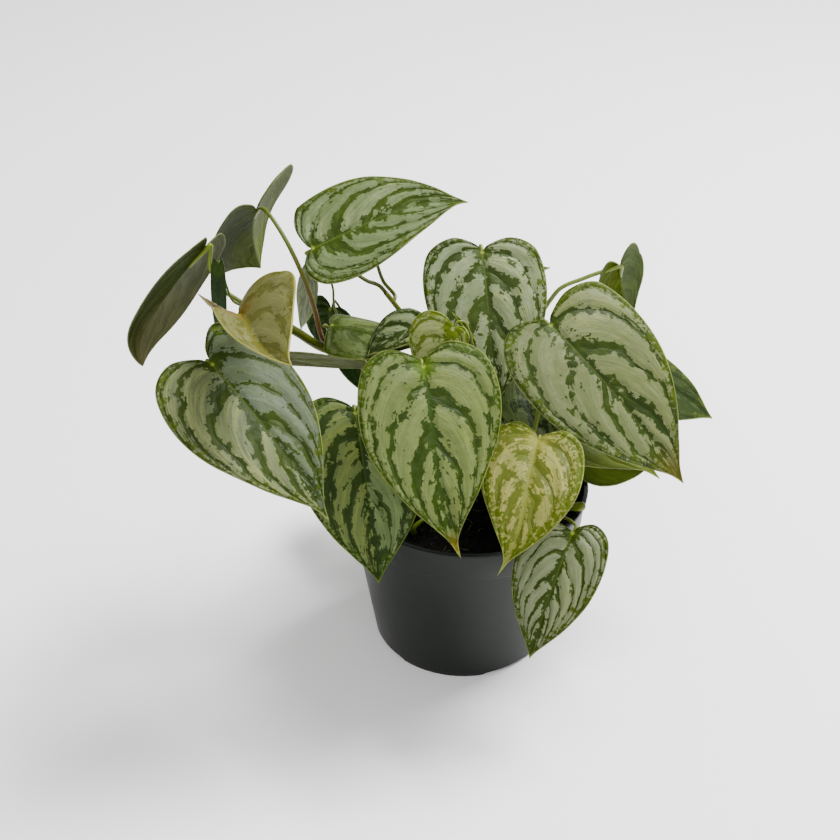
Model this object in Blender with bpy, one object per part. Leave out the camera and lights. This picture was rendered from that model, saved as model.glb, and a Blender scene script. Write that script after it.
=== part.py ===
"""A potted philodendron: a nursery pot filled with soil, two vines and their heart-shaped leaves.

Metres, +Z up. The origin is the middle of the foot pad under the pot, +X is to the right of the
plant's front and -Y is the front. Driving dimensions are in millimetres, and MM turns them to metres.
"""
import math

import bmesh
import bpy
import numpy as np

MM = 0.001
UP = np.array((0.0, 0.0, 1.0))
CLEARANCE = 0.4

POT_SIDES = 32
POT_HEIGHT = 90.0
POT_BASE_RADIUS = 43.5
POT_NECK_RADIUS = 56.5
POT_NECK_HEIGHT = 73.0
POT_COLLAR_RADIUS = 58.0
POT_RIM_RADIUS = 60.0
POT_RIM_DEPTH = 2.4
POT_WALL = 1.2
FOOT_HEIGHT = 2.5
FOOT_RING_WIDTH = 3.5
FOOT_PAD_RADIUS = 12.0
FLOOR_THICKNESS = 1.6
NOTCH_WIDTH = 26.0
NOTCH_HEIGHT = 2.0
NOTCH_ANGLES = (-58, 32, 122, 212)
DRAIN_RADIUS = 4.0
DRAIN_CIRCLE_RADIUS = 26.0
DRAIN_COUNT = 4

SOIL_LEVEL = 77.5
SOIL_RINGS = (0.25, 0.5, 0.75, 1.0)
HOLE_FLOOR = 70.0
STEM_TOP_OF_HOLE = 81.0
HOLE_SIDES = 6

BLADE_THICKNESS = 0.8
BLADE_ROWS = 10
BLADE_COLUMNS = 2
SPINE_STEPS = 100
OUTLINE_STEPS = 24
MIDRIB_SPREAD = 1.6
STEM_SIDES = 5
VINE_SIDES = 8
STEPS_PER_SPAN = 2
UNDER_MIDRIB = ((0.0, 1.0, 1.0), (0.06, 0.85, 0.9), (0.14, 0.5, 0.6))
STALK_STUB = 2.0
STALK_LEAST = 0.35
STALK_PER_WIDTH = 0.009
BASE_SWELL = 1.35

# Half outlines of a blade, from the joint with the petiole round a lobe to the tip: each point
# gives the distance across as a share of the half width, and along as a share of the length.
DRIP_TIP = ((0, 0), (0.12, -0.065), (0.48, -0.112), (0.86, -0.02), (1.0, 0.19), (0.90, 0.42),
            (0.55, 0.66), (0.22, 0.82), (0.07, 0.90), (0.028, 0.95), (0, 1))
PLAIN_TIP = ((0, 0), (0.12, -0.065), (0.48, -0.112), (0.86, -0.02), (1.0, 0.19), (0.92, 0.45),
             (0.66, 0.68), (0.38, 0.83), (0.18, 0.915), (0.07, 0.965), (0, 1))

# Vines: the point where each leaves the soil, then the points it passes through.
VINES = {
    "vine_left": dict(foot=(-38, 15), radii=(2.7, 2.0),
                      route=((-46, 16, 105), (-49, 17, 122), (-49.5, 17, 142), (-56, 15, 151),
                             (-69.5, 12, 156.5), (-82.5, 8, 168), (-95, 5, 177), (-106, 4, 183))),
    "vine_middle": dict(foot=(-8, 32), radii=(1.7, 1.2),
                        route=((-16, 34, 130), (-26, 36, 152), (-33.2, 36, 163), (-40.7, 36, 173.6))),
}

# Leaves: joint and tip of the midrib, half widths to the left and right of it as seen from the
# joint, how the blade is turned, arched and folded, and the way of its petiole. A petiole starts
# at its foot in the soil, or at a station of its vine.
LEAVES = {
    "leaf_front": dict(joint=(-22, -30, 173), tip=(-4, -85, 109), widths=(33, 33), sway=4, arch=8,
                       taper=1.0, foot=(-10, -20),
                       route=((-12, -22, 120), (-18, -25, 152), (-23, -25, 169))),
    "leaf_front_left": dict(joint=(-52, -35, 151), tip=(-40, -80, 90), widths=(30, 31), arch=8,
                            taper=0.3, foot=(-32, -20),
                            route=((-38, -22, 112), (-50, -27, 140), (-53, -30, 149))),
    "leaf_left": dict(joint=(-114, -40, 178), tip=(-61, -85, 128), widths=(29, 34), roll=-12,
                      arch=12, taper=0.8, lobes=(1.7, 1), vine="vine_left",
                      station=6.5, route=((-104, -8, 178), (-108, -20, 175), (-113, -32, 173))),
    "leaf_yellow": dict(joint=(-102, -30, 197), tip=(-75, -80, 203), widths=(29.5, 13.5), roll=-30,
                        sway=4, arch=14, fold=(14, 60), curl=(-14, -10), taper=0.3, lobes=(3.0, 1.2),
                        vine="vine_left", station=6, route=((-97, -4, 186), (-102, -16, 194))),
    "leaf_far_left": dict(joint=(-122.4, 10, 208), tip=(-152.5, -2, 153), widths=(13.5, 24), roll=-50,
                          twist=-25, arch=8, hook=60, fold=(8, 12), taper=-0.5, stalk=0.95,
                          vine="vine_left", station=6.5,
                          route=((-108, 12, 181), (-115.5, 14, 186), (-120.5, 14, 197))),
    "leaf_top_left": dict(joint=(-101.5, 42, 213), tip=(-105.5, 80, 162), widths=(32, 33), roll=54,
                          twist=12, arch=12, taper=0.1, fold=(45, 12), curl=(-70, -30), lobes=(1.9, 1),
                          vine="vine_left", station=4, stalk=0.95,
                          route=((-69.5, 7, 165), (-73, 9, 180), (-78, 13, 194), (-86, 21, 208),
                                 (-95, 31, 217))),
    "leaf_top": dict(joint=(-72, 0, 215), tip=(-3, 25, 227), widths=(25, 22), roll=-30, arch=12,
                     sway=-4, taper=0.5, lobes=(0.5, 0.8), vine="vine_middle",
                     station=3, route=((-49.3, 30, 183), (-62, 15, 200), (-74, 3, 210))),
    "leaf_upright": dict(joint=(5, 40, 194), tip=(12, -3, 135), widths=(29.5, 30), taper=0.2,
                         lobes=(0.75, 0.9), foot=(0, 25),
                         route=((-2, 28, 130), (0, 40, 165), (3, 47, 187))),
    "leaf_right": dict(joint=(36, 0, 178), tip=(100, -31, 112.5), widths=(35.5, 33), roll=-34, arch=14,
                       taper=0.6, lobes=(0.6, 1), foot=(22, -18),
                       route=((26, -20, 110), (31, -14, 132), (35, -1, 158), (34, 3, 173))),
    "leaf_front_right": dict(joint=(30, -40, 141), tip=(12, -90, 104), widths=(24, 24), arch=12,
                             sway=-4, taper=1.2, foot=(20, -27),
                             route=((24, -29, 112), (29, -33, 133))),
    "leaf_low_right": dict(joint=(47.4, -57, 102.4), tip=(29, -87, 53), widths=(20, 22), roll=5,
                           taper=0.3, lobes=(1, 0.3), foot=(38, -20),
                           route=((42, -30, 92), (46.5, -43, 99.5), (48.5, -51, 103))),
    "leaf_young": dict(joint=(-9, -10, 181), tip=(-23, -14, 155), widths=(10, 17), roll=58,
                       taper=0.5, foot=(-2, -9),
                       route=((0, -9, 130), (1, -7, 165), (-3, -7, 182))),
    "leaf_far_right": dict(joint=(73, 45, 136), tip=(122, 25, 112), widths=(15, 28), roll=-20,
                           taper=0.2, foot=(30, 30), route=((42, 38, 110), (58, 47, 129), (67, 48, 136))),
    "leaf_top_right": dict(joint=(71, 40, 187), tip=(83.5, 64, 142), widths=(12.5, 14), roll=60,
                           taper=0.4, fold=(35, 10), curl=(-50, -20), lobes=(1.7, 3.2), stalk=1.0,
                           foot=(20, 38),
                           route=((30, 46, 140), (42, 43, 172), (55, 41, 181), (65, 38.6, 186.6))),
    "leaf_under_right": dict(joint=(21, 22, 141), tip=(91, -20, 107), widths=(34, 34), roll=-30,
                             arch=14, taper=0.9, foot=(14, 10),
                             route=((13, 16, 110), (13, 24, 132))),
    "leaf_rim_right": dict(joint=(59, 16, 102), tip=(96, 16, 92), widths=(20, 22), roll=-30, arch=14,
                           taper=0.3, foot=(38, 14), route=((46, 15, 94), (53, 16, 101))),
    "leaf_middle_left": dict(joint=(-65, 10, 170), tip=(-25, 4, 162.5), widths=(16, 18), roll=-5,
                             fold=(-8, -10), curl=(-14, -14), arch=8, taper=0.3, lobes=(0.5, 0.3),
                             vine="vine_left", station=3.5, route=((-66, 18, 161), (-68, 15, 167))),
    "leaf_middle": dict(joint=(-21, 6, 174), tip=(-47.5, -8, 164.4), widths=(11, 18), arch=14,
                        taper=0.3, lobes=(1, 0.6), foot=(-12, 2),
                        route=((-12, 0, 130), (-15, 2, 158), (-18, 5, 170))),
    "leaf_edge_left": dict(joint=(-90, -6, 161.2), tip=(-40, 2, 151), widths=(6.5, 6.5), roll=60,
                           arch=5, taper=0.3, vine="vine_left", station=5.5,
                           route=((-95, 0, 163),)),
    "leaf_shaded_left": dict(joint=(-68, 48, 157), tip=(-71, 42, 137), widths=(15, 15), roll=-10,
                             lobes=(1, 2.2), arch=5, taper=0.3, foot=(-26, 34),
                             route=((-40, 44, 120), (-60, 51, 149), (-66, 52, 159.5))),
    "leaf_low_left": dict(joint=(-59, 30, 143), tip=(-37, 24, 117), widths=(14, 9), roll=-40, arch=5,
                          taper=0.3, foot=(-36, 30),
                          route=((-46, 36, 118), (-53, 39, 135), (-60, 36, 145))),
    "leaf_hanging_left": dict(joint=(-114.5, 0, 203.5), tip=(-114, -6, 158), widths=(3.2, 4), roll=-12,
                              arch=5, taper=0.3, vine="vine_left",
                              station=7, route=((-112, 4, 193), (-113.5, 5, 202))),
    "leaf_pale_left": dict(joint=(-75.5, 30, 184), tip=(-82, 38, 151), widths=(9, 10), roll=80, arch=5,
                           taper=0.3, vine="vine_left",
                           station=3, route=((-60, 26, 157), (-65, 31, 168), (-66, 31, 180),
                                             (-71, 29, 187))),
    "leaf_behind_top": dict(joint=(-46, 40, 198), tip=(-62, 92, 172), widths=(22, 22), arch=14,
                            taper=0.6, vine="vine_middle",
                            station=2.5, route=((-41.8, 40.5, 177), (-44.5, 40.5, 185), (-46, 37, 195))),
    "leaf_behind_upright": dict(joint=(4, 62, 163), tip=(41, 75, 168), widths=(20, 20), roll=-10,
                                taper=0.8, foot=(2, 42), route=((0, 52, 120), (-2, 60, 155))),
    "leaf_back_left": dict(joint=(-36, 62, 95), tip=(-54, 105, 55), widths=(21, 21), arch=12,
                           taper=0.6, foot=(-18, 42), route=((-26, 48, 94), (-33, 56, 98))),
    "leaf_back_middle": dict(joint=(4, 66, 122), tip=(8, 112, 70), widths=(24, 24), arch=12,
                             taper=0.8, foot=(10, 44), route=((8, 52, 106), (4, 61, 120))),
    "leaf_back_right": dict(joint=(56, 56, 112), tip=(88, 84, 66), widths=(24, 24), arch=12,
                            taper=0.6, foot=(34, 38), route=((44, 47, 98), (53, 52, 110))),
    "leaf_rolled": dict(joint=(-0.5, 0, 167), tip=(-9.5, 5, 181), widths=(3.6, 3.6), fold=(30, 30),
                        curl=(100, 100), arch=5, lobes=(0.5, 0.5), taper=0.3, foot=(-3, -1),
                        route=((-4, -1, 120), (-5, -3, 145), (-1, -2, 160))),
    "husk": dict(joint=(-106.2, -20, 188.6), tip=(-120.8, -22, 203), widths=(2.2, 2.2), roll=60,
                 fold=(20, 20), curl=(40, 40), arch=-25, lobes=(0.3, 0.3), taper=1.0),
}

PETIOLE_KEYS = ("foot", "vine", "station", "stalk", "route")

# Young shoots that stand in the soil without a blade
SHOOTS = {
    "shoot_soil": dict(foot=(-25, -29), radii=(1.7, 0.7), route=((-22, -27, 84), (-17, -24, 85))),
    "shoot_right": dict(foot=(43, -17.5), radii=(1.3, 2.3),
                        route=((44.5, -19, 86.5), (48.5, -22.5, 91), (55, -26, 94.5))),
}

VINE_GREEN = (0.160, 0.190, 0.050)
GREEN_DARK = (0.030, 0.075, 0.030)
GREEN_SILVER = (0.170, 0.230, 0.150)
GREEN_LIME = (0.270, 0.360, 0.110)
GREEN_YELLOW = (0.400, 0.360, 0.120)
GREEN_PALE = (0.300, 0.330, 0.240)
PAPER_BROWN = (0.560, 0.470, 0.300)
SOIL_BLACK = (0.012, 0.010, 0.008)
POT_GREY = (0.038, 0.041, 0.035)

LEAF_COLOURS = {
    "leaf_front": GREEN_LIME, "leaf_front_right": GREEN_LIME, "leaf_young": GREEN_LIME,
    "leaf_yellow": GREEN_YELLOW, "leaf_far_left": GREEN_PALE, "leaf_top_left": GREEN_PALE,
    "leaf_top_right": GREEN_PALE, "leaf_edge_left": GREEN_PALE, "leaf_pale_left": GREEN_PALE,
    "leaf_rolled": GREEN_LIME, "husk": PAPER_BROWN, "leaf_shaded_left": GREEN_DARK,
    "leaf_low_left": GREEN_DARK, "leaf_hanging_left": GREEN_DARK, "leaf_rim_right": GREEN_DARK,
}


def unit(vector):
    """The vector at length 1"""
    vector = np.asarray(vector, float)
    return vector / np.linalg.norm(vector)


def clear_scene():
    """Empty the scene"""
    for item in list(bpy.data.objects):
        bpy.data.objects.remove(item, do_unlink=True)


def make_material(name, colour, roughness):
    """A plain Principled material"""
    material = bpy.data.materials.new(name)
    material.use_nodes = True
    shader = material.node_tree.nodes["Principled BSDF"]
    shader.inputs["Base Color"].default_value = (*colour, 1.0)
    shader.inputs["Roughness"].default_value = roughness
    shader.inputs["Metallic"].default_value = 0.0
    return material


def add_object(name, points, faces, material=None):
    """An object with the given points, in millimetres, and faces"""
    mesh = bpy.data.meshes.new(name)
    mesh.from_pydata([tuple(p * MM) for p in np.asarray(points, float)], [], faces)
    if material:
        mesh.materials.append(material)
    item = bpy.data.objects.new(name, mesh)
    bpy.context.scene.collection.objects.link(item)
    return item


def shade(item):
    """Smooth shading, with the sharp edges kept"""
    item.data.shade_smooth()
    item.data.set_sharp_from_angle(angle=math.radians(40))


def lathe(name, profile, sides, material):
    """A solid turned round Z from a profile of (radius, height) that starts and ends on the axis"""
    mesh = bpy.data.meshes.new(name)
    shape = bmesh.new()
    corners = [shape.verts.new((r * MM, 0.0, z * MM)) for r, z in profile]
    edges = [shape.edges.new(pair) for pair in zip(corners, corners[1:])]
    bmesh.ops.spin(shape, geom=corners + edges, cent=(0, 0, 0), axis=(0, 0, 1), angle=math.tau,
                   steps=sides, use_merge=True)
    bmesh.ops.remove_doubles(shape, verts=shape.verts[:], dist=1e-6)
    bmesh.ops.recalc_face_normals(shape, faces=shape.faces[:])
    shape.to_mesh(mesh)
    shape.free()
    mesh.materials.append(material)
    item = bpy.data.objects.new(name, mesh)
    bpy.context.scene.collection.objects.link(item)
    return item


def prism(name, x, y, low, high, radius, sides):
    """An upright prism with a regular base, used as a cutter"""
    angles = [math.tau * k / sides for k in range(sides)]
    ring = [(x + radius * math.cos(a), y + radius * math.sin(a)) for a in angles]
    points = [(*p, low) for p in ring] + [(*p, high) for p in ring]
    faces = [tuple(reversed(range(sides))), tuple(range(sides, 2 * sides))]
    faces += [(k, (k + 1) % sides, sides + (k + 1) % sides, sides + k) for k in range(sides)]
    return add_object(name, points, faces)


def combine(item, others, operation):
    """Join or cut an object by others with one Boolean, apply it and remove the others"""
    group = bpy.data.collections.new(item.name + "_tools")
    bpy.context.scene.collection.children.link(group)
    for other in others:
        group.objects.link(other)
    modifier = item.modifiers.new("combine", "BOOLEAN")
    modifier.operation = operation
    modifier.operand_type = "COLLECTION"
    modifier.collection = group
    modifier.solver = "EXACT"
    bpy.context.view_layer.update()
    evaluated = item.evaluated_get(bpy.context.evaluated_depsgraph_get())
    result = bpy.data.meshes.new_from_object(evaluated)
    item.modifiers.clear()
    item.data = result
    for other in others:
        bpy.data.objects.remove(other, do_unlink=True)
    bpy.data.collections.remove(group)
    return item


def pot_inner_radius(height):
    """Radius of the inside of the pot's wall at a height"""
    outer = np.interp(height, (0, POT_NECK_HEIGHT, POT_NECK_HEIGHT + 1, POT_HEIGHT),
                      (POT_BASE_RADIUS, POT_NECK_RADIUS, POT_COLLAR_RADIUS, POT_COLLAR_RADIUS + 0.8))
    return float(outer) - POT_WALL


def make_pot():
    """Nursery pot: tapered wall, collar and rolled rim, raised floor on a foot ring and a pad"""
    floor = FOOT_HEIGHT + FLOOR_THICKNESS
    under_rim = POT_HEIGHT - POT_RIM_DEPTH
    ring_inside = POT_BASE_RADIUS - FOOT_RING_WIDTH
    profile = [(0, floor), (pot_inner_radius(floor), floor),
               (pot_inner_radius(POT_NECK_HEIGHT), POT_NECK_HEIGHT),
               (pot_inner_radius(POT_NECK_HEIGHT + 1), POT_NECK_HEIGHT + 1),
               (pot_inner_radius(POT_HEIGHT), POT_HEIGHT - 0.6), (POT_COLLAR_RADIUS, POT_HEIGHT),
               (POT_RIM_RADIUS - 0.5, POT_HEIGHT), (POT_RIM_RADIUS, POT_HEIGHT - 0.7),
               (POT_RIM_RADIUS - 0.2, under_rim), (POT_COLLAR_RADIUS + 0.8, under_rim - 0.5),
               (POT_COLLAR_RADIUS, POT_NECK_HEIGHT + 1), (POT_NECK_RADIUS, POT_NECK_HEIGHT),
               (POT_BASE_RADIUS + 0.3, 0.8), (POT_BASE_RADIUS - 0.3, 0), (ring_inside, 0),
               (ring_inside - 0.5, FOOT_HEIGHT), (FOOT_PAD_RADIUS + 0.5, FOOT_HEIGHT),
               (FOOT_PAD_RADIUS, 0), (0, 0)]
    pot = lathe("pot", profile, POT_SIDES, make_material("pot_plastic", POT_GREY, 0.45))
    cutters = []
    for angle in NOTCH_ANGLES:
        cutters.append(foot_notch(math.radians(angle)))
    for k in range(DRAIN_COUNT):
        angle = math.tau * (k + 0.5) / DRAIN_COUNT
        x, y = DRAIN_CIRCLE_RADIUS * math.cos(angle), DRAIN_CIRCLE_RADIUS * math.sin(angle)
        cutters.append(prism("drain", x, y, -1, floor + 1, DRAIN_RADIUS, 12))
    combine(pot, cutters, "DIFFERENCE")
    shade(pot)


def foot_notch(angle):
    """Cutter for a shallow arch in the foot ring, centred on an angle round the pot"""
    outward = np.array((math.cos(angle), math.sin(angle), 0))
    sideways = np.array((-math.sin(angle), math.cos(angle), 0))
    half = NOTCH_WIDTH / 2
    section = ((-half, -1), (half, -1), (half, NOTCH_HEIGHT * 0.4), (half * 0.75, NOTCH_HEIGHT),
               (-half * 0.75, NOTCH_HEIGHT), (-half, NOTCH_HEIGHT * 0.4))
    near, far = POT_BASE_RADIUS - 2 * FOOT_RING_WIDTH, POT_BASE_RADIUS + FOOT_RING_WIDTH
    points = [outward * r + sideways * x + UP * z for r in (near, far) for x, z in section]
    count = len(section)
    faces = [tuple(reversed(range(count))), tuple(range(count, 2 * count))]
    faces += [(k, (k + 1) % count, count + (k + 1) % count, count + k) for k in range(count)]
    return add_object("notch", points, faces)


def soil_height(x, y):
    """Height of the soil's crumbly top at a place"""
    swell = 0.9 * math.sin(0.13 * x + 0.5) * math.cos(0.11 * y - 0.4)
    crumbs = 0.5 * math.sin(0.41 * x - 0.23 * y) + 0.3 * math.sin(0.67 * y + 0.19 * x)
    return SOIL_LEVEL + swell + crumbs


def soil_stations():
    """Rings of the soil's outside from the middle of its top to the middle of its base"""
    top = pot_inner_radius(SOIL_LEVEL) - CLEARANCE
    floor = FOOT_HEIGHT + FLOOR_THICKNESS + CLEARANCE
    neck = pot_inner_radius(POT_NECK_HEIGHT) - CLEARANCE
    rings = [(top * share, None) for share in SOIL_RINGS]
    rings += [(neck, POT_NECK_HEIGHT), (pot_inner_radius(floor) - CLEARANCE, floor)]
    return rings


def make_soil(holes):
    """Soil that fills the pot, with a hole for each stem"""
    points = [(0, 0, soil_height(0, 0))]
    faces = []
    rings = soil_stations()
    for radius, height in rings:
        for k in range(POT_SIDES):
            angle = math.tau * k / POT_SIDES
            x, y = radius * math.cos(angle), radius * math.sin(angle)
            points.append((x, y, soil_height(x, y) if height is None else height))
    points.append((0, 0, rings[-1][1]))
    for k in range(POT_SIDES):
        after = (k + 1) % POT_SIDES
        faces.append((0, 1 + k, 1 + after))
        for ring in range(len(rings) - 1):
            upper, lower = 1 + ring * POT_SIDES, 1 + (ring + 1) * POT_SIDES
            faces.append((upper + k, lower + k, lower + after))
            faces.append((upper + k, lower + after, upper + after))
        last = 1 + (len(rings) - 1) * POT_SIDES
        faces.append((len(points) - 1, last + after, last + k))
    soil = add_object("soil", points, faces, make_material("soil_peat", SOIL_BLACK, 0.95))
    cutters = []
    for x, y, radius in holes:
        cutter_radius = (radius + CLEARANCE) / math.cos(math.pi / HOLE_SIDES)
        cutters.append(prism("hole", x, y, HOLE_FLOOR, POT_HEIGHT, cutter_radius, HOLE_SIDES))
    combine(soil, cutters, "DIFFERENCE")
    shade(soil)


def outline(taper, rows):
    """Points of a blade's half outline, closer together along it than across"""
    ends = np.array(DRIP_TIP) * taper + np.array(PLAIN_TIP) * (1 - taper)
    points = np.vstack([2 * ends[0] - ends[1], ends, 2 * ends[-1] - ends[-2]])
    fine = []
    for a, b, c, d in zip(points, points[1:], points[2:], points[3:]):
        for t in np.linspace(0, 1, OUTLINE_STEPS, endpoint=False):
            fine.append(0.5 * (2 * b + (c - a) * t + (2 * a - 5 * b + 4 * c - d) * t ** 2
                               + (3 * b - a - 3 * c + d) * t ** 3))
    fine = np.array(fine + [ends[-1]])
    steps = np.linalg.norm(np.diff(fine * (1.0, 1.35), axis=0), axis=1)
    way = np.concatenate([[0], np.cumsum(steps)])
    places = np.linspace(0, way[-1], rows + 1)
    return np.stack([np.interp(places, way, fine[:, k]) for k in (0, 1)], axis=1)


class Blade:
    """A heart-shaped blade, bent along its midrib and folded on either side of it"""

    def __init__(self, joint, tip, widths, roll=0, arch=10, hook=0, sway=0, twist=0, fold=(8, 8),
                 curl=(-16, -16), lobes=(1, 1), taper=0.6, wave=0.7):
        self.joint = np.array(joint, float)
        self.widths = widths
        self.sway = sway
        self.twist = math.radians(twist)
        self.fold = np.radians(fold)
        self.curl = np.radians(curl)
        self.lobes = lobes
        self.taper = taper
        self.wave = wave * min(1, sum(widths) / 60)
        chord = np.array(tip, float) - self.joint
        along = unit(chord)
        level = unit(np.cross(along, UP))
        above = np.cross(level, along)
        turn = math.radians(roll)
        self.across = level * math.cos(turn) + above * math.sin(turn)
        above = above * math.cos(turn) - level * math.sin(turn)
        self.places = np.linspace(-1, 1, 2 * SPINE_STEPS + 1)
        slope = math.radians(arch) * (1 - 2 * self.places)
        slope -= math.radians(hook) * np.clip((self.places - 0.6) / 0.4, 0, None) ** 2
        self.ways = np.outer(np.cos(slope), along) + np.outer(np.sin(slope), above)
        step = self.places[1] - self.places[0]
        path = np.vstack([np.zeros(3), np.cumsum((self.ways[1:] + self.ways[:-1]) / 2 * step, axis=0)])
        path -= path[SPINE_STEPS]
        path *= np.linalg.norm(chord) / np.dot(path[-1], along)
        self.path = path + np.outer(np.clip(self.places, 0, 1), chord - path[-1])

    def spine(self, place):
        """Point on the midrib and the directions along, across and above the blade there"""
        point = self.joint + [np.interp(place, self.places, self.path[:, k]) for k in range(3)]
        along = unit([np.interp(place, self.places, self.ways[:, k]) for k in range(3)])
        across = unit(self.across - along * np.dot(self.across, along))
        above = np.cross(across, along)
        turn = self.twist * min(max(place, -0.2), 1)
        return (point, along, across * math.cos(turn) + above * math.sin(turn),
                above * math.cos(turn) - across * math.sin(turn))

    def point(self, row, share, side, edge, spread):
        """Point at a share of the way from the midrib to a point of the outline; side is -1 or 1"""
        half = 0 if side < 0 else 1
        out, along = edge
        along *= self.lobes[half] if along < 0 else 1
        distance = share * out * self.widths[half]
        place = row ** spread * (1 - share) + along * share
        bend = self.curl[half] / self.widths[half]
        angle = self.fold[half] + bend * distance
        sideways = (math.sin(angle) - math.sin(self.fold[half])) / bend
        height = (math.cos(self.fold[half]) - math.cos(angle)) / bend
        calm = share ** 2 * min(1, 4 * row) * min(1, 5 * (1 - row))
        height += self.wave * calm * math.sin(5 * math.pi * row + self.widths[half] + half)
        inside = min(max(place, 0), 1)
        sideways += side * self.sway * 6.75 * inside ** 2 * (1 - inside)
        centre, _, across, above = self.spine(place)
        return centre + across * side * sideways + above * height


def blade_solid(blade):
    """Closed thin solid of a blade: the same triangles on both faces, joined along the margin"""
    edges = outline(blade.taper, BLADE_ROWS)
    width = 2 * BLADE_COLUMNS + 1
    points = [blade.spine(0)[0]]
    for i in range(1, BLADE_ROWS):
        for j in range(-BLADE_COLUMNS, BLADE_COLUMNS + 1):
            points.append(blade.point(i / BLADE_ROWS, abs(j) / BLADE_COLUMNS, 1 if j > 0 else -1,
                                      edges[i], MIDRIB_SPREAD))
    points.append(blade.spine(1)[0])
    points = np.array(points)
    last = len(points) - 1
    triangles = []
    for j in range(width - 1):
        triangles.append((0, 1 + j, 2 + j))
        triangles.append((last, last - width + 1 + j, last - width + j))
        for i in range(BLADE_ROWS - 2):
            a = 1 + i * width + j
            b = a + width
            if j < BLADE_COLUMNS:
                triangles += [(a, b, b + 1), (a, b + 1, a + 1)]
            else:
                triangles += [(a, b, a + 1), (b, b + 1, a + 1)]
    margin = [0] + [1 + i * width for i in range(BLADE_ROWS - 1)] + [last]
    margin += [(i + 1) * width for i in reversed(range(BLADE_ROWS - 1))]
    normals = np.zeros_like(points)
    for a, b, c in triangles:
        normals[[a, b, c]] += np.cross(points[b] - points[a], points[c] - points[a])
    normals /= np.linalg.norm(normals, axis=1)[:, None]
    if np.dot(normals[0], blade.spine(0)[3]) < 0:
        triangles = [t[::-1] for t in triangles]
        normals = -normals
    else:
        margin = margin[::-1]
    half = BLADE_THICKNESS / 2
    count = len(points)
    faces = triangles + [(a + count, c + count, b + count) for a, b, c in triangles]
    for a, b in zip(margin, margin[1:] + margin[:1]):
        faces.append((a, b, b + count))
        faces.append((a, b + count, a + count))
    return np.vstack([points + normals * half, points - normals * half]), faces


def smooth_route(points, steps, start=None, end=None):
    """Points on a smooth curve through the given ones, which leaves and arrives as told"""
    points = [np.array(p, float) for p in points]
    ways = [unit(b - a) for a, b in zip(points, points[2:])]
    ways = [unit(start) if start is not None else unit(points[1] - points[0])] + ways
    ways.append(unit(end) if end is not None else unit(points[-1] - points[-2]))
    route = [points[0]]
    for a, b, way_a, way_b in zip(points, points[1:], ways, ways[1:]):
        reach = np.linalg.norm(b - a)
        for t in np.linspace(0, 1, steps + 1)[1:]:
            route.append(a * (2 * t ** 3 - 3 * t ** 2 + 1) + b * (3 * t ** 2 - 2 * t ** 3)
                         + way_a * reach * (t ** 3 - 2 * t ** 2 + t) + way_b * reach * (t ** 3 - t ** 2))
    return route


def tube(points, radii, sides):
    """Closed round solid along a route"""
    ways = [unit(b - a) for a, b in zip(points, points[1:])]
    ways = [ways[0]] + [unit(a + b) for a, b in zip(ways, ways[1:])] + [ways[-1]]
    side = unit(np.cross(ways[0], (1, 0.2, 0) if abs(ways[0][2]) > 0.8 else UP))
    corners = []
    for point, way, radius in zip(points, ways, radii):
        side = unit(side - way * np.dot(side, way))
        other = np.cross(way, side)
        for k in range(sides):
            angle = math.tau * k / sides
            corners.append(point + radius * (side * math.cos(angle) + other * math.sin(angle)))
    faces = [tuple(reversed(range(sides))), tuple(len(corners) - sides + k for k in range(sides))]
    for i in range(len(points) - 1):
        for k in range(sides):
            a, b = i * sides + k, i * sides + (k + 1) % sides
            faces.append((a, b, b + sides, a + sides))
    return corners, faces


def vine_route(vine):
    """Route of a vine's axis, from the floor of its hole"""
    x, y = vine["foot"]
    start = np.array((x, y, HOLE_FLOOR + CLEARANCE))
    over_soil = [(x, y, STEM_TOP_OF_HOLE), *vine["route"]]
    return [start] + smooth_route(over_soil, STEPS_PER_SPAN, start=UP)


def radii_along(route, first, last):
    """Radius at each point of a route that thins from its start to its end"""
    way = np.concatenate([[0], np.cumsum([np.linalg.norm(b - a) for a, b in zip(route, route[1:])])])
    return list(np.interp(way, (0, way[-1]), (first, last)))


def petiole_radius(leaf):
    """Radius of a leaf's petiole at its upper end"""
    return leaf.get("stalk", STALK_LEAST + STALK_PER_WIDTH * sum(leaf["widths"]))


def petiole_solid(leaf, blade):
    """Petiole from its foot to its joint, then at UNDER_MIDRIB's places, depths and radius shares"""
    radius = petiole_radius(leaf)
    joint, along, _, above = blade.spine(0)
    neck = joint - along * 3 - above * 1.2
    if "vine" in leaf:
        start, way = leave_vine(VINES[leaf["vine"]], leaf["station"], leaf["route"][0])
        stub = start + way * STALK_STUB
        curve = smooth_route([stub, *leaf["route"], neck], STEPS_PER_SPAN, way, along)
    else:
        x, y = leaf["foot"]
        start = np.array((x, y, HOLE_FLOOR + CLEARANCE))
        foot = (x, y, STEM_TOP_OF_HOLE)
        curve = smooth_route([foot, *leaf["route"], neck], STEPS_PER_SPAN, UP, along)
    route = [start] + curve
    radii = radii_along(route, radius * BASE_SWELL, radius)
    for place, depth, share in UNDER_MIDRIB:
        point, _, _, above = blade.spine(place)
        route.append(point - above * depth)
        radii.append(radius * share)
    return tube(route, radii, STEM_SIDES)


def leave_vine(vine, station, toward):
    """Point just clear of a vine and the way out of it: square to it, or on from its end

    A station counts the points of the vine's route, and its halves are halfway between two.
    """
    route = vine_route(vine)
    index = 1 + int(STEPS_PER_SPAN * (station + 1))
    axis, vine_way = route[index], unit(route[index] - route[index - 1])
    if index == len(route) - 1:
        return axis + vine_way * CLEARANCE, vine_way
    out = np.array(toward, float) - axis
    out = unit(out - vine_way * np.dot(out, vine_way))
    return axis + out * (radii_along(route, *vine["radii"])[index] + CLEARANCE), out


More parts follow.
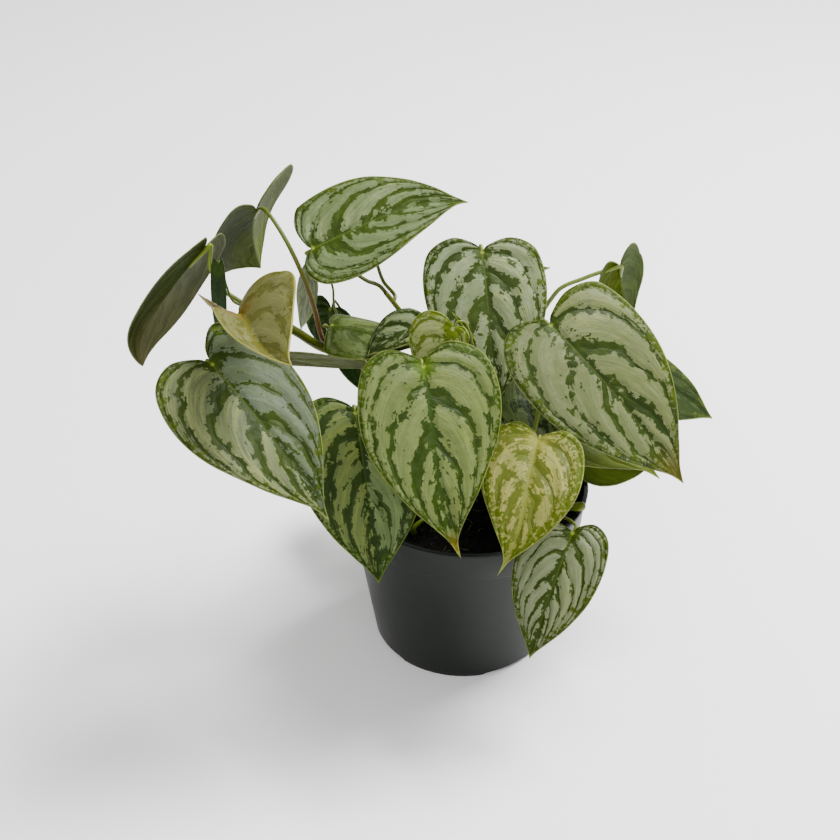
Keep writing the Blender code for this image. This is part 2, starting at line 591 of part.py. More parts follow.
def make_vines():
    """The two leafy stems"""
    material = make_material("vine_green", VINE_GREEN, 0.45)
    for name, vine in VINES.items():
        route = vine_route(vine)
        points, faces = tube(route, radii_along(route, *vine["radii"]), VINE_SIDES)
        shade(add_object(name, points, faces, material))


def make_shoots():
    """Short new shoots that lean over the soil"""
    material = make_material("shoot_green", GREEN_LIME, 0.5)
    for name, shoot in SHOOTS.items():
        route = vine_route(shoot)
        points, faces = tube(route, radii_along(route, *shoot["radii"]), STEM_SIDES)
        shade(add_object(name, points, faces, material))


def make_leaf(name, leaf):
    """One leaf: its blade, fused with its petiole where it has one"""
    shape = {key: value for key, value in leaf.items() if key not in PETIOLE_KEYS}
    blade = Blade(**shape)
    material = make_material(name + "_green", LEAF_COLOURS.get(name, GREEN_SILVER), 0.4)
    points, faces = blade_solid(blade)
    item = add_object(name, points, faces, material)
    if "route" in leaf:
        points, faces = petiole_solid(leaf, blade)
        combine(item, [add_object(name + "_petiole", points, faces)], "UNION")
    shade(item)


def stem_holes():
    """Place and radius of each stem that stands in the soil"""
    holes = [(*vine["foot"], vine["radii"][0]) for vine in (*VINES.values(), *SHOOTS.values())]
    rooted = [leaf for leaf in LEAVES.values() if "foot" in leaf]
    holes += [(*leaf["foot"], petiole_radius(leaf) * BASE_SWELL) for leaf in rooted]
    return holes


def main():
    clear_scene()
    make_pot()
    make_soil(stem_holes())
    make_vines()
    make_shoots()
    for name, leaf in LEAVES.items():
        make_leaf(name, leaf)


main()
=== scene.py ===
import math
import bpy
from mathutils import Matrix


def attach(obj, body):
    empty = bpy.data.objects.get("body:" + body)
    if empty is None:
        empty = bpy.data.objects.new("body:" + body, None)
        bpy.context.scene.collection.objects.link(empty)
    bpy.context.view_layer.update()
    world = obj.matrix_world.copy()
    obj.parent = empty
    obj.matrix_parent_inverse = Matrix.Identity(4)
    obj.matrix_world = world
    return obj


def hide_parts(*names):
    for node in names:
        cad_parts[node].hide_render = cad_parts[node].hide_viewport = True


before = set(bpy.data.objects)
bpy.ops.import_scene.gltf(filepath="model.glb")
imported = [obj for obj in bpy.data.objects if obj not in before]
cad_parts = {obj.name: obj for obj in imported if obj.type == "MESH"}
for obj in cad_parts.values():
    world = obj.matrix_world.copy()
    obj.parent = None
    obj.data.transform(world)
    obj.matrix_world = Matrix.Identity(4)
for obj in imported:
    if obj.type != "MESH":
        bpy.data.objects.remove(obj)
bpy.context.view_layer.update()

from types import SimpleNamespace

import bmesh
import bpy
from mathutils import Matrix, Vector
import numpy as np

# Lengths are in millimetres and angles in degrees, unless a comment says otherwise.
MM = 0.001
UP = np.array((0.0, 0.0, 1.0))

# The view: where the camera stands and how it is turned
CAMERA_PLACE = (-23.0, -596.0, 522.0)
CAMERA_PITCH = 33.7
CAMERA_ROLL = 1.10
CAMERA_LENS = 64.29
CAMERA_SENSOR = 36.0

# The studio: lights in metres and watts, the white surroundings and the floor, whose reach is in metres
LIGHTS = {
    "key": dict(place=(0.7, 0.45, 1.5), size=0.7, power=78),
    "front": dict(place=(-0.4, -1.4, 1.3), size=1.2, power=16),
}
LIGHT_AIM = (0, 0, 0.1)
WHITE = (1.0, 1.0, 1.0, 1.0)
SKY_STRENGTH = 0.75
FLOOR_WHITE = (0.95, 0.95, 0.95, 1.0)
FLOOR_REACH = 6.0

POT_SIDES = 160
POT_HEIGHT = 90.0
POT_BASE_RADIUS = 43.5
POT_NECK_RADIUS = 56.5
POT_NECK_HEIGHT = 73.0
POT_COLLAR_RADIUS = 58.0
POT_COLLAR_FLARE = 0.8
POT_RIM_RADIUS = 60.0
POT_RIM_DEPTH = 2.4
POT_WALL = 1.2
POT_SHARP_ANGLE = 35
FOOT_HEIGHT = 2.5
FOOT_RING_WIDTH = 3.5
FOOT_PAD_RADIUS = 12.0
FLOOR_THICKNESS = 1.6
NOTCH_WIDTH = 26.0
NOTCH_HEIGHT = 2.0
NOTCH_STEPS = 12
NOTCH_ANGLES = (-58, 32, 122, 212)
DRAIN_RADIUS = 4.0
DRAIN_CIRCLE_RADIUS = 26.0
DRAIN_COUNT = 4
DRAIN_SIDES = 32

SOIL_LEVEL = 77.5
SOIL_CLEARANCE = 0.4
SOIL_RINGS = 70
SOIL_SIDES = 220
SOIL_WAVES = 40
SOIL_ROUGHNESS = 0.22
ROOT_BITS = 110
CRUMBS = 260
LITTER_RADIUS = 50.0
LITTER_LIFT = 0.3
LITTER_STEPS = 6
LITTER_SIDES = 6

# Stems and petioles start under the soil's top and rise straight to the height where they may bend.
STEM_FLOOR = 75.0
STEM_BEND = 81.0
STEM_SIDES = 12
STEPS_PER_SPAN = 8
CLEARANCE = 0.4
DOME_ANGLES = (20, 40, 58, 74, 86)
STALK_STUB = 2.0
STALK_OVERLAP = 0.5
STALK_LEAST = 0.35
STALK_PER_WIDTH = 0.009
BASE_SWELL = 1.35
NECK_BACK = 3
NECK_DROP = 1.2
# The petiole's end under the midrib: the place along the midrib, the depth below it and the share of
# the petiole's radius left there
UNDER_MIDRIB = ((0.0, 0.9, 1.0), (0.04, 0.7, 0.95), (0.08, 0.5, 0.8), (0.16, 0.2, 0.6))

BLADE_THICKNESS = 0.6
BLADE_ROWS = 84
BLADE_COLUMNS = 14
COLUMN_CROWDING = 0.85
ROW_CROWDING = 1.35
MIDRIB_SPREAD = 1.8
SPINE_STEPS = 200
SPLINE_STEPS = 24
HOOK_START = 0.6
SWAY_SCALE = 27 / 4
QUILT_DEPTH = 0.45
WAVE_DEPTH = 0.7
WAVE_COUNT = 5
FULL_WIDTH = 60

# Side veins: how they bow towards the joint, and how they turn along the margin
VEIN_BOW = 1.35
VEIN_TURN = 0.3
VEIN_REACH = 0.9

# Half outlines of a blade, from the joint to the tip, as shares of the half width and the length: the
# lobe, which every blade has, and then a drawn-out or a plain tip
LOBE = ((0, 0), (0.12, -0.065), (0.48, -0.112), (0.86, -0.02), (1.0, 0.19))
DRIP_TIP = ((0.90, 0.42), (0.55, 0.66), (0.22, 0.82), (0.07, 0.90), (0.028, 0.95), (0, 1))
PLAIN_TIP = ((0.92, 0.45), (0.66, 0.68), (0.38, 0.83), (0.18, 0.915), (0.07, 0.965), (0, 1))
# How far apart the noises of two leaves lie, so that no two have the same markings
SEED_STEP = 1.7

# Vines: the point where each leaves the soil, then the points it passes through
VINES = {
    "vine_left": dict(
        foot=(-38, 15), radii=(2.7, 2.0),
        route=((-46, 16, 105), (-49, 17, 122), (-49.5, 17, 142), (-56, 15, 151),
               (-69.5, 12, 156.5), (-82.5, 8, 168), (-95, 5, 177), (-106, 4, 183))),
    "vine_middle": dict(
        foot=(-8, 32), radii=(1.7, 1.2),
        route=((-16, 34, 130), (-26, 36, 152), (-33.2, 36, 163), (-40.7, 36, 173.6))),
}

# Leaves: joint and tip of the midrib, half widths to the left and right of it as seen from the
# joint, how the blade is turned, arched and folded, and the way of its petiole. A petiole starts
# at its foot in the soil, or at a station of its vine.
LEAVES = {
    "leaf_front": dict(
        joint=(-22, -30, 173), tip=(-4, -85, 109), widths=(33, 33), sway=4, arch=8, taper=1.0,
        foot=(-10, -20), route=((-12, -22, 120), (-18, -25, 152), (-23, -25, 169))),
    "leaf_front_left": dict(
        joint=(-52, -35, 151), tip=(-40, -80, 90), widths=(30, 31), arch=8, foot=(-32, -20),
        route=((-38, -22, 112), (-50, -27, 140), (-53, -30, 149))),
    "leaf_left": dict(
        joint=(-114, -40, 178), tip=(-61, -85, 128), widths=(29, 34), roll=-12, arch=12, taper=0.8,
        lobes=(1.7, 1), vine="vine_left", station=6.5,
        route=((-104, -8, 178), (-108, -20, 175), (-113, -32, 173))),
    "leaf_yellow": dict(
        joint=(-102, -30, 197), tip=(-75, -80, 203), widths=(29.5, 13.5), roll=-30, sway=4, arch=14,
        fold=(14, 60), curl=(-14, -10), lobes=(3.0, 1.2), vine="vine_left", station=6,
        route=((-97, -4, 186), (-102, -16, 194))),
    "leaf_far_left": dict(
        joint=(-122.4, 10, 208), tip=(-152.5, -2, 153), widths=(13.5, 24), roll=-50, twist=-25, arch=8,
        hook=60, fold=(8, 12), taper=-0.5, stalk=0.95, vine="vine_left", station=6.5,
        route=((-108, 12, 181), (-115.5, 14, 186), (-120.5, 14, 197))),
    "leaf_top_left": dict(
        joint=(-101.5, 42, 213), tip=(-105.5, 80, 162), widths=(32, 33), roll=54, twist=12, arch=12,
        taper=0.1, fold=(45, 12), curl=(-70, -30), lobes=(1.9, 1), vine="vine_left", station=4, stalk=0.95,
        route=((-69.5, 7, 165), (-73, 9, 180), (-78, 13, 194), (-86, 21, 208), (-95, 31, 217))),
    "leaf_top": dict(
        joint=(-72, 0, 215), tip=(-3, 25, 227), widths=(25, 22), roll=-30, arch=12, sway=-4, taper=0.5,
        lobes=(0.5, 0.8), vine="vine_middle", station=3,
        route=((-49.3, 30, 183), (-62, 15, 200), (-74, 3, 210))),
    "leaf_upright": dict(
        joint=(5, 40, 194), tip=(12, -3, 135), widths=(29.5, 30), taper=0.2, lobes=(0.75, 0.9),
        foot=(0, 25), route=((-2, 28, 130), (0, 40, 165), (3, 47, 187))),
    "leaf_right": dict(
        joint=(36, 0, 178), tip=(100, -31, 112.5), widths=(35.5, 33), roll=-34, arch=14, taper=0.6,
        lobes=(0.6, 1), foot=(22, -18),
        route=((26, -20, 110), (31, -14, 132), (35, -1, 158), (34, 3, 173))),
    "leaf_front_right": dict(
        joint=(30, -40, 141), tip=(12, -90, 104), widths=(24, 24), arch=12, sway=-4, taper=1.2,
        foot=(20, -27), route=((24, -29, 112), (29, -33, 133))),
    "leaf_low_right": dict(
        joint=(47.4, -57, 102.4), tip=(29, -87, 53), widths=(20, 22), roll=5, lobes=(1, 0.3),
        foot=(38, -20), route=((42, -30, 92), (46.5, -43, 99.5), (48.5, -51, 103))),
    "leaf_young": dict(
        joint=(-9, -10, 181), tip=(-23, -14, 155), widths=(10, 17), roll=58, taper=0.5, foot=(-2, -9),
        route=((0, -9, 130), (1, -7, 165), (-3, -7, 182))),
    "leaf_far_right": dict(
        joint=(73, 45, 136), tip=(122, 25, 112), widths=(15, 28), roll=-20, taper=0.2, foot=(30, 30),
        route=((42, 38, 110), (58, 47, 129), (67, 48, 136))),
    "leaf_top_right": dict(
        joint=(71, 40, 187), tip=(83.5, 64, 142), widths=(12.5, 14), roll=60, taper=0.4, fold=(35, 10),
        curl=(-50, -20), lobes=(1.7, 3.2), stalk=1.0, foot=(20, 38),
        route=((30, 46, 140), (42, 43, 172), (55, 41, 181), (65, 38.6, 186.6))),
    "leaf_under_right": dict(
        joint=(21, 22, 141), tip=(91, -20, 107), widths=(34, 34), roll=-30, arch=14, taper=0.9,
        foot=(14, 10), route=((13, 16, 110), (13, 24, 132))),
    "leaf_rim_right": dict(
        joint=(59, 16, 102), tip=(96, 16, 92), widths=(20, 22), roll=-30, arch=14, foot=(38, 14),
        route=((46, 15, 94), (53, 16, 101))),
    "leaf_middle_left": dict(
        joint=(-65, 10, 170), tip=(-25, 4, 162.5), widths=(16, 18), roll=-5, fold=(-8, -10),
        curl=(-14, -14), arch=8, lobes=(0.5, 0.3), vine="vine_left", station=3.5,
        route=((-66, 18, 161), (-68, 15, 167))),
    "leaf_middle": dict(
        joint=(-21, 6, 174), tip=(-47.5, -8, 164.4), widths=(11, 18), arch=14, lobes=(1, 0.6),
        foot=(-12, 2), route=((-12, 0, 130), (-15, 2, 158), (-18, 5, 170))),
    "leaf_edge_left": dict(
        joint=(-90, -6, 161.2), tip=(-40, 2, 151), widths=(6.5, 6.5), roll=60, arch=5, vine="vine_left",
        station=5.5, route=((-95, 0, 163),)),
    "leaf_shaded_left": dict(
        joint=(-68, 48, 157), tip=(-71, 42, 137), widths=(15, 15), roll=-10, lobes=(1, 2.2), arch=5,
        foot=(-26, 34), route=((-40, 44, 120), (-60, 51, 149), (-66, 52, 159.5))),
    "leaf_low_left": dict(
        joint=(-59, 30, 143), tip=(-37, 24, 117), widths=(14, 9), roll=-40, arch=5, foot=(-36, 30),
        route=((-46, 36, 118), (-53, 39, 135), (-60, 36, 145))),
    "leaf_hanging_left": dict(
        joint=(-114.5, 0, 203.5), tip=(-114, -6, 158), widths=(3.2, 4), roll=-12, arch=5, vine="vine_left",
        station=7, route=((-112, 4, 193), (-113.5, 5, 202))),
    "leaf_pale_left": dict(
        joint=(-75.5, 30, 184), tip=(-82, 38, 151), widths=(9, 10), roll=80, arch=5, vine="vine_left",
        station=3, route=((-60, 26, 157), (-65, 31, 168), (-66, 31, 180), (-71, 29, 187))),
    "leaf_behind_top": dict(
        joint=(-46, 40, 198), tip=(-62, 92, 172), widths=(22, 22), arch=14, taper=0.6, vine="vine_middle",
        station=2.5, route=((-41.8, 40.5, 177), (-44.5, 40.5, 185), (-46, 37, 195))),
    "leaf_behind_upright": dict(
        joint=(4, 62, 163), tip=(41, 75, 168), widths=(20, 20), roll=-10, taper=0.8, foot=(2, 42),
        route=((0, 52, 120), (-2, 60, 155))),
    "leaf_back_left": dict(
        joint=(-36, 62, 95), tip=(-54, 105, 55), widths=(21, 21), arch=12, taper=0.6, foot=(-18, 42),
        route=((-26, 48, 94), (-33, 56, 98))),
    "leaf_back_middle": dict(
        joint=(4, 66, 122), tip=(8, 112, 70), widths=(24, 24), arch=12, taper=0.8, foot=(10, 44),
        route=((8, 52, 106), (4, 61, 120))),
    "leaf_back_right": dict(
        joint=(56, 56, 112), tip=(88, 84, 66), widths=(24, 24), arch=12, taper=0.6, foot=(34, 38),
        route=((44, 47, 98), (53, 52, 110))),
    "leaf_rolled": dict(
        joint=(-0.5, 0, 167), tip=(-9.5, 5, 181), widths=(3.6, 3.6), fold=(30, 30), curl=(100, 100),
        arch=5, lobes=(0.5, 0.5), foot=(-3, -1), route=((-4, -1, 120), (-5, -3, 145), (-1, -2, 160))),
    "husk": dict(
        joint=(-106.2, -20, 188.6), tip=(-120.8, -22, 203), widths=(2.2, 2.2), roll=60, fold=(20, 20),
        curl=(40, 40), arch=-25, lobes=(0.3, 0.3), taper=1.0),
}
PETIOLE_KEYS = ("foot", "vine", "station", "stalk", "route")

# Young shoots that stand in the soil without a blade
SHOOTS = {
    "shoot_soil": dict(foot=(-25, -29), radii=(1.7, 0.7), route=((-22, -27, 84), (-17, -24, 85))),
    "shoot_right": dict(
        foot=(43, -17.5), radii=(1.3, 2.3), route=((44.5, -19, 86.5), (48.5, -22.5, 91), (55, -26, 94.5))),
}

# Finish of each blade, in screen colours: its dark veins, the silver between them, its margin, the
# pale line round it, which is a painted highlight along the edge, the halves of its underside, which
# on some leaves differ by painted light and shade, its ribs and the bud green at the joint; then how
# green it is, how wide its margin and how much wider round the lobes, how strong the stripes, the
# rows over which the tip changes colour, how far the veins are apart, how deep the quilting, how
# dull, how streaky and how varied it is, and the colour, reach and amount of the joint's patch.
# Leaves in deep shade get darker copies of these colours, as painted shade.
PLAIN_LOOK = dict(
    dark=(60, 75, 34), silver=(160, 166, 132), margin=(82, 97, 46), rim=(165, 174, 118),
    under=((104, 116, 78), (116, 126, 92)), rib=(118, 134, 74), bud=(160, 174, 98), green=0.0,
    border=0.2, crest=0.15, strength=1.0, tip_rows=(0.97, 1.0), spacing=0.26, relief=0.8, dull=0.0,
    streak=0.6, calm=1.0, heart=((84, 100, 40), 0.6, 0.4))
LOOKS = {
    "leaf_front": dict(
        dark=(52, 68, 12), silver=(136, 148, 102), margin=(74, 92, 26), rim=(166, 176, 112),
        midrib=(52, 70, 14), rib=(66, 86, 22), crest=0.4, spacing=0.24, tip=(140, 122, 62),
        tip_rows=(0.9, 1.0), heart=((110, 134, 34), 0.9, 0.55)),
    "leaf_front_left": dict(
        dark=(42, 60, 16), silver=(144, 162, 118), margin=(64, 84, 30), rim=(138, 154, 80),
        silver_right=(146, 156, 98), green=0.03, strength=0.9),
    # Painted light: the right half's silver is lighter, for the half that takes more light
    "leaf_left": dict(
        dark=(54, 68, 30), silver=(120, 130, 110), margin=(84, 98, 46), silver_right=(162, 169, 120),
        spacing=0.24),
    "leaf_yellow": dict(
        dark=(90, 91, 46), silver=(142, 142, 102), margin=(122, 122, 70), rim=(194, 192, 130),
        midrib=(108, 106, 58), rib=(140, 138, 80), strength=0.75, relief=0.2, spacing=0.34,
        heart=((132, 100, 58), 1.3, 0.5), under=((124, 112, 52), (140, 130, 62))),
    # Painted light and shade: the underside's halves, olive where light shines through and grey where it
    # falls on the surface
    "leaf_far_left": dict(
        under=((62, 74, 36), (114, 118, 88)), under_tip=(104, 100, 74), under_base=(70, 84, 44),
        rim=(120, 130, 92), rib=(122, 126, 96)),
    # Painted light and shade: the underside's halves, olive where light shines through and grey where it
    # falls on the surface
    "leaf_top_left": dict(
        under=((64, 75, 26), (112, 125, 68)), under_tip=(104, 115, 60), under_base=(88, 104, 42),
        rim=(134, 144, 100), rib=(120, 130, 86)),
    "leaf_top": dict(silver=(134, 148, 110), silver_far=(156, 167, 128), spacing=0.22),
    "leaf_upright": dict(dark=(64, 78, 42), silver=(168, 179, 144), spacing=0.24),
    # Painted shade: the right half's silver is darker, for the half that takes less light
    "leaf_right": dict(
        dark=(54, 68, 34), silver=(148, 156, 118), silver_right=(140, 148, 112), tip=(98, 92, 42),
        tip_rows=(0.82, 1.0), border=0.28, crest=0.3),
    # Painted light and shade: the underside's halves, olive where light shines through and grey where it
    # falls on the surface
    "leaf_top_right": dict(
        under=((108, 122, 44), (96, 112, 66)), under_base=(112, 126, 60), rim=(150, 162, 116)),
    "leaf_front_right": dict(
        dark=(92, 103, 44), silver=(186, 184, 126), margin=(94, 107, 42), rim=(176, 184, 120),
        midrib=(138, 142, 86), rib=(172, 174, 118), green=0.1, strength=0.85, border=0.55, relief=0.7,
        streak=0.9, heart=((176, 172, 102), 1.0, 0.35)),
    "leaf_young": dict(
        dark=(104, 122, 50), silver=(206, 216, 158), margin=(130, 146, 70), rim=(176, 188, 120),
        bud=(206, 214, 160), border=0.16, strength=0.9, spacing=0.3, heart=((150, 168, 84), 0.7, 0.4)),
    "leaf_low_right": dict(dark=(60, 74, 34), silver=(166, 175, 142), spacing=0.15, green=-0.05, calm=0.5),
    # Painted shade: darkened silver and veins for a leaf that lies behind the others in shade
    "leaf_far_right": dict(
        dark=(40, 55, 22), silver=(72, 86, 54), green=0.1, strength=0.75, spacing=0.36, relief=0.3,
        dull=0.2),
    # Painted shade: darkened silver and veins where this leaf lies under the leaf above; its lighter green
    # tip, out of that shade, is painted light
    "leaf_under_right": dict(
        dark=(38, 52, 24), silver=(98, 110, 74), margin=(76, 92, 40), tip=(124, 138, 74),
        tip_rows=(0.55, 0.85), green=0.05),
    # Painted shade: an even dark olive for an upper side that lies in shade
    "leaf_rim_right": dict(
        dark=(46, 58, 0), silver=(70, 82, 20), margin=(54, 66, 4), strength=0.2, relief=0.05, dull=0.5,
        under=((50, 60, 10), (60, 70, 18))),
    "leaf_middle_left": dict(
        dark=(62, 78, 30), silver=(124, 138, 92), margin=(78, 94, 40), strength=0.7, spacing=0.36,
        relief=0.5),
    "leaf_middle": dict(
        dark=(46, 60, 20), silver=(148, 159, 124), margin=(54, 68, 28), spacing=0.34, border=0.3),
    "leaf_edge_left": dict(
        dark=(116, 120, 96), silver=(158, 160, 136), margin=(130, 134, 110),
        under=((128, 133, 102), (146, 150, 122))),
    # Painted shade: darker copies of the leaf colours for a leaf in shade
    "leaf_shaded_left": dict(
        dark=(44, 66, 16), silver=(78, 98, 40), margin=(58, 80, 26), rim=(110, 126, 60), green=0.1),
    # Painted shade: near-black greens for a leaf in deep shade
    "leaf_low_left": dict(dark=(30, 50, 12), silver=(42, 62, 20), margin=(30, 50, 14), relief=0.3),
    "leaf_hanging_left": dict(
        dark=(34, 52, 24), silver=(56, 74, 42), margin=(38, 56, 26), rim=(60, 78, 44), rib=(44, 62, 32),
        bud=(50, 70, 36), tip=(70, 90, 66), tip_rows=(0.3, 0.9), strength=0.4, relief=0.1,
        under=((38, 56, 26), (34, 52, 24))),
    "leaf_pale_left": dict(
        dark=(96, 108, 64), silver=(136, 144, 106), margin=(114, 126, 84), relief=0.2,
        under=((98, 110, 62), (116, 128, 80))),
    "leaf_rolled": dict(
        dark=(92, 108, 44), silver=(132, 146, 84), margin=(108, 124, 58), rim=(132, 148, 86),
        under=((104, 118, 60), (112, 128, 70)), strength=0.5),
    "husk": dict(
        dark=(158, 147, 114), silver=(188, 178, 148), margin=(164, 152, 118), rim=(180, 170, 140),
        under=((172, 160, 128), (172, 160, 128))),
}
# Petioles, from their base to their end, in screen colours
PLAIN_PETIOLE = dict(low=(96, 104, 44), high=(124, 138, 66))
PETIOLE_LOOKS = {
    "leaf_top_left": dict(low=(122, 84, 32), high=(106, 118, 50)),
    "leaf_far_left": dict(low=(120, 130, 60), high=(140, 156, 66)),
    "leaf_top_right": dict(low=(160, 178, 100), high=(176, 192, 124)),
}

TONE_DEPTH = 0.52
TONE_STRENGTH = 1.3
LUMINANCE = (0.2126, 0.7152, 0.0722)


def tone(red, green, blue):
    """Surface colour that shows about as this screen colour, from 0 to 255, in the studio's light"""
    parts = [c / 255 for c in (red, green, blue)]
    parts = [c / 12.92 if c <= 0.04045 else ((c + 0.055) / 1.055) ** 2.4 for c in parts]
    grey = sum(c * k for c, k in zip(parts, LUMINANCE))
    return tuple(max(0.001, TONE_DEPTH * (grey + TONE_STRENGTH * (c - grey))) for c in parts)


def surface_colours(value):
    """A value of a look, with its screen colours made surface colours"""
    if not isinstance(value, tuple):
        return value
    if len(value) == 3 and not isinstance(value[0], tuple):
        return tone(*value)
    return tuple(surface_colours(part) for part in value)


def scaled(colour, share):
    """A colour made darker by a share below 1, or lighter by one above"""
    return tuple(c * share for c in colour)


def mixed(first, second, part_first, part_second):
    """A colour of so much of one and so much of another"""
    return tuple(part_first * c + part_second * d for c, d in zip(first, second))


class Wire:
    """A node's socket in a finish. Arithmetic on it adds Math nodes."""

    def __init__(self, finish, socket):
        self.finish = finish
        self.socket = socket

    def math(self, operation, *values):
        return self.finish.node("Math", {"operation": operation}, [self, *values])

    def __add__(self, other):
        return self.math("ADD", other)

    def __sub__(self, other):
        return self.math("SUBTRACT", other)

    def __mul__(self, other):
        return self.math("MULTIPLY", other)

    def __truediv__(self, other):
        return self.math("DIVIDE", other)

    def __rsub__(self, other):
        return self.finish.node("Math", {"operation": "SUBTRACT"}, [other, self])

    __radd__ = __add__
    __rmul__ = __mul__

    def __abs__(self):
        return self.math("ABSOLUTE")

    def least(self, other):
        return self.math("MINIMUM", other)

    def most(self, other):
        return self.math("MAXIMUM", other)

    def swing(self, reach):
        """Up and down between 0 and the reach"""
        return self.math("PINGPONG", reach)

    def step(self, low, high):
        """0 up to low and 1 from high on, with a soft change between; low may be above high"""
        return self.finish.node("MapRange", {"interpolation_type": "SMOOTHSTEP"},
                                {"Value": self, "From Min": low, "From Max": high})


class Finish:
    """A material, and the nodes that feed its Principled shader"""

    def __init__(self, name, roughness, specular):
        self.material = bpy.data.materials.new(name)
        self.material.use_nodes = True
        self.tree = self.material.node_tree
        self.shader = self.tree.nodes["Principled BSDF"]
        self.shader.inputs["Roughness"].default_value = roughness
        self.shader.inputs["Specular IOR Level"].default_value = specular

    def node(self, kind, settings=(), inputs=(), output=0):
        """Add a node: settings first, then the values or wires of its sockets; gives its output"""
        made = self.tree.nodes.new("ShaderNode" + kind)
        for key, value in dict(settings).items():
            setattr(made, key, value)
        pairs = inputs.items() if isinstance(inputs, dict) else enumerate(inputs)
        for key, value in pairs:
            if isinstance(value, Wire):
                self.tree.links.new(value.socket, made.inputs[key])
            elif isinstance(value, tuple) and made.inputs[key].type == "RGBA":
                made.inputs[key].default_value = (*value, 1.0)
            else:
                made.inputs[key].default_value = value
        return Wire(self, made.outputs[output])

    def pair(self, layer):
        """The two coordinates of a UV map"""
        place = self.node("UVMap", {"uv_map": layer})
        return [self.node("SeparateXYZ", {}, [place], k) for k in (0, 1)]

    def object_place(self):
        """Place on the object, in metres"""
        return self.node("TexCoord", output=3)

    def noise(self, place, scale=1.0, detail=2.0, rough=0.5):
        """Noise from 0 to 1 at a place, which is a wire or the three parts of one"""
        if isinstance(place, tuple):
            place = self.node("CombineXYZ", {}, place)
        return self.node("TexNoise", {},
                         {"Vector": place, "Scale": scale, "Detail": detail, "Roughness": rough})

    def blend(self, factor, first, second):
        """A colour between two, at the factor from the first to the second"""
        return self.node("Mix", {"data_type": "RGBA"}, {0: factor, 6: first, 7: second}, 2)

    def layered(self, colour, *coats):
        """A colour under coats, the last one on top; each is the factor it shows with and its colour"""
        for factor, coat in coats:
            colour = self.blend(factor, colour, coat)
        return colour

    def bump(self, height, distance, strength):
        """Relief: height is in units of the distance, which is in metres"""
        return self.node("Bump", {}, {"Height": height, "Distance": distance, "Strength": strength})

    def set(self, **wires):
        """Feed sockets of the shader, such as Base_Color"""
        for key, value in wires.items():
            self.tree.links.new(value.socket, self.shader.inputs[key.replace("_", " ")])
        return self.material


def unit(vector):
    """The vector at length 1"""
    vector = np.asarray(vector, float)
    return vector / np.linalg.norm(vector)


def circle(radius, sides):
    """Points evenly round the axis"""
    turns = [math.tau * k / sides for k in range(sides)]
    return [(radius * math.cos(turn), radius * math.sin(turn)) for turn in turns]


def ways_gone(route):
    """Distance gone at each point of a route"""
    return np.concatenate([[0], np.cumsum([np.linalg.norm(b - a) for a, b in zip(route, route[1:])])])


def link(piece):
    """The object, now in the scene"""
    bpy.context.scene.collection.objects.link(piece)
    return piece


def solid(name, points, faces):
    """A new object in the scene, of points in millimetres and faces"""
    mesh = bpy.data.meshes.new(name)
    mesh.from_pydata([tuple(p * MM) for p in np.asarray(points, float)], [], faces)
    return link(bpy.data.objects.new(name, mesh))


def add_piece(name, points, faces, marks, kinds, materials, node):
    """A smooth object that stands for a node; kinds gives each face's material, and marks six
    numbers at each face's corners, two for each UV map"""
    piece = solid(name, points, faces)
    mesh = piece.data
    for material in materials:
        mesh.materials.append(material)
    if kinds is not None:
        mesh.polygons.foreach_set("material_index", kinds)
    mesh.shade_smooth()
    if marks is not None:
        marks = np.array([mark for corners in marks for mark in corners], float)
        for layer, first in (("vein", 0), ("edge", 2), ("flat", 4)):
            uv = mesh.uv_layers.new(name=layer)
            uv.data.foreach_set("uv", marks[:, first:first + 2].ravel())
    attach(piece, "root")
    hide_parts(node)


def outline(taper):
    """Points of a blade's half outline on a smooth curve, closer together along it than across"""
    ends = np.array(LOBE + DRIP_TIP) * taper + np.array(LOBE + PLAIN_TIP) * (1 - taper)
    points = np.vstack([2 * ends[0] - ends[1], ends, 2 * ends[-1] - ends[-2]])
    fine = []
    for a, b, c, d in zip(points, points[1:], points[2:], points[3:]):
        for t in np.linspace(0, 1, SPLINE_STEPS, endpoint=False):
            fine.append(0.5 * (2 * b + (c - a) * t + (2 * a - 5 * b + 4 * c - d) * t ** 2
                               + (3 * b - a - 3 * c + d) * t ** 3))
    fine = np.array(fine + [ends[-1]])
    steps = np.linalg.norm(np.diff(fine * (1.0, ROW_CROWDING), axis=0), axis=1)
    way = np.concatenate([[0], np.cumsum(steps)])
    places = np.linspace(0, way[-1], BLADE_ROWS + 1)
    return np.stack([np.interp(places, way, fine[:, k]) for k in (0, 1)], axis=1)


def vein_number(row, share):
    """Which side vein passes a place on the blade: they leave the midrib at this share of its
    length, or below 0 leave the joint and run round a lobe, and all turn along the margin"""
    return row ** VEIN_BOW + VEIN_TURN * math.log(1 - VEIN_REACH * share)


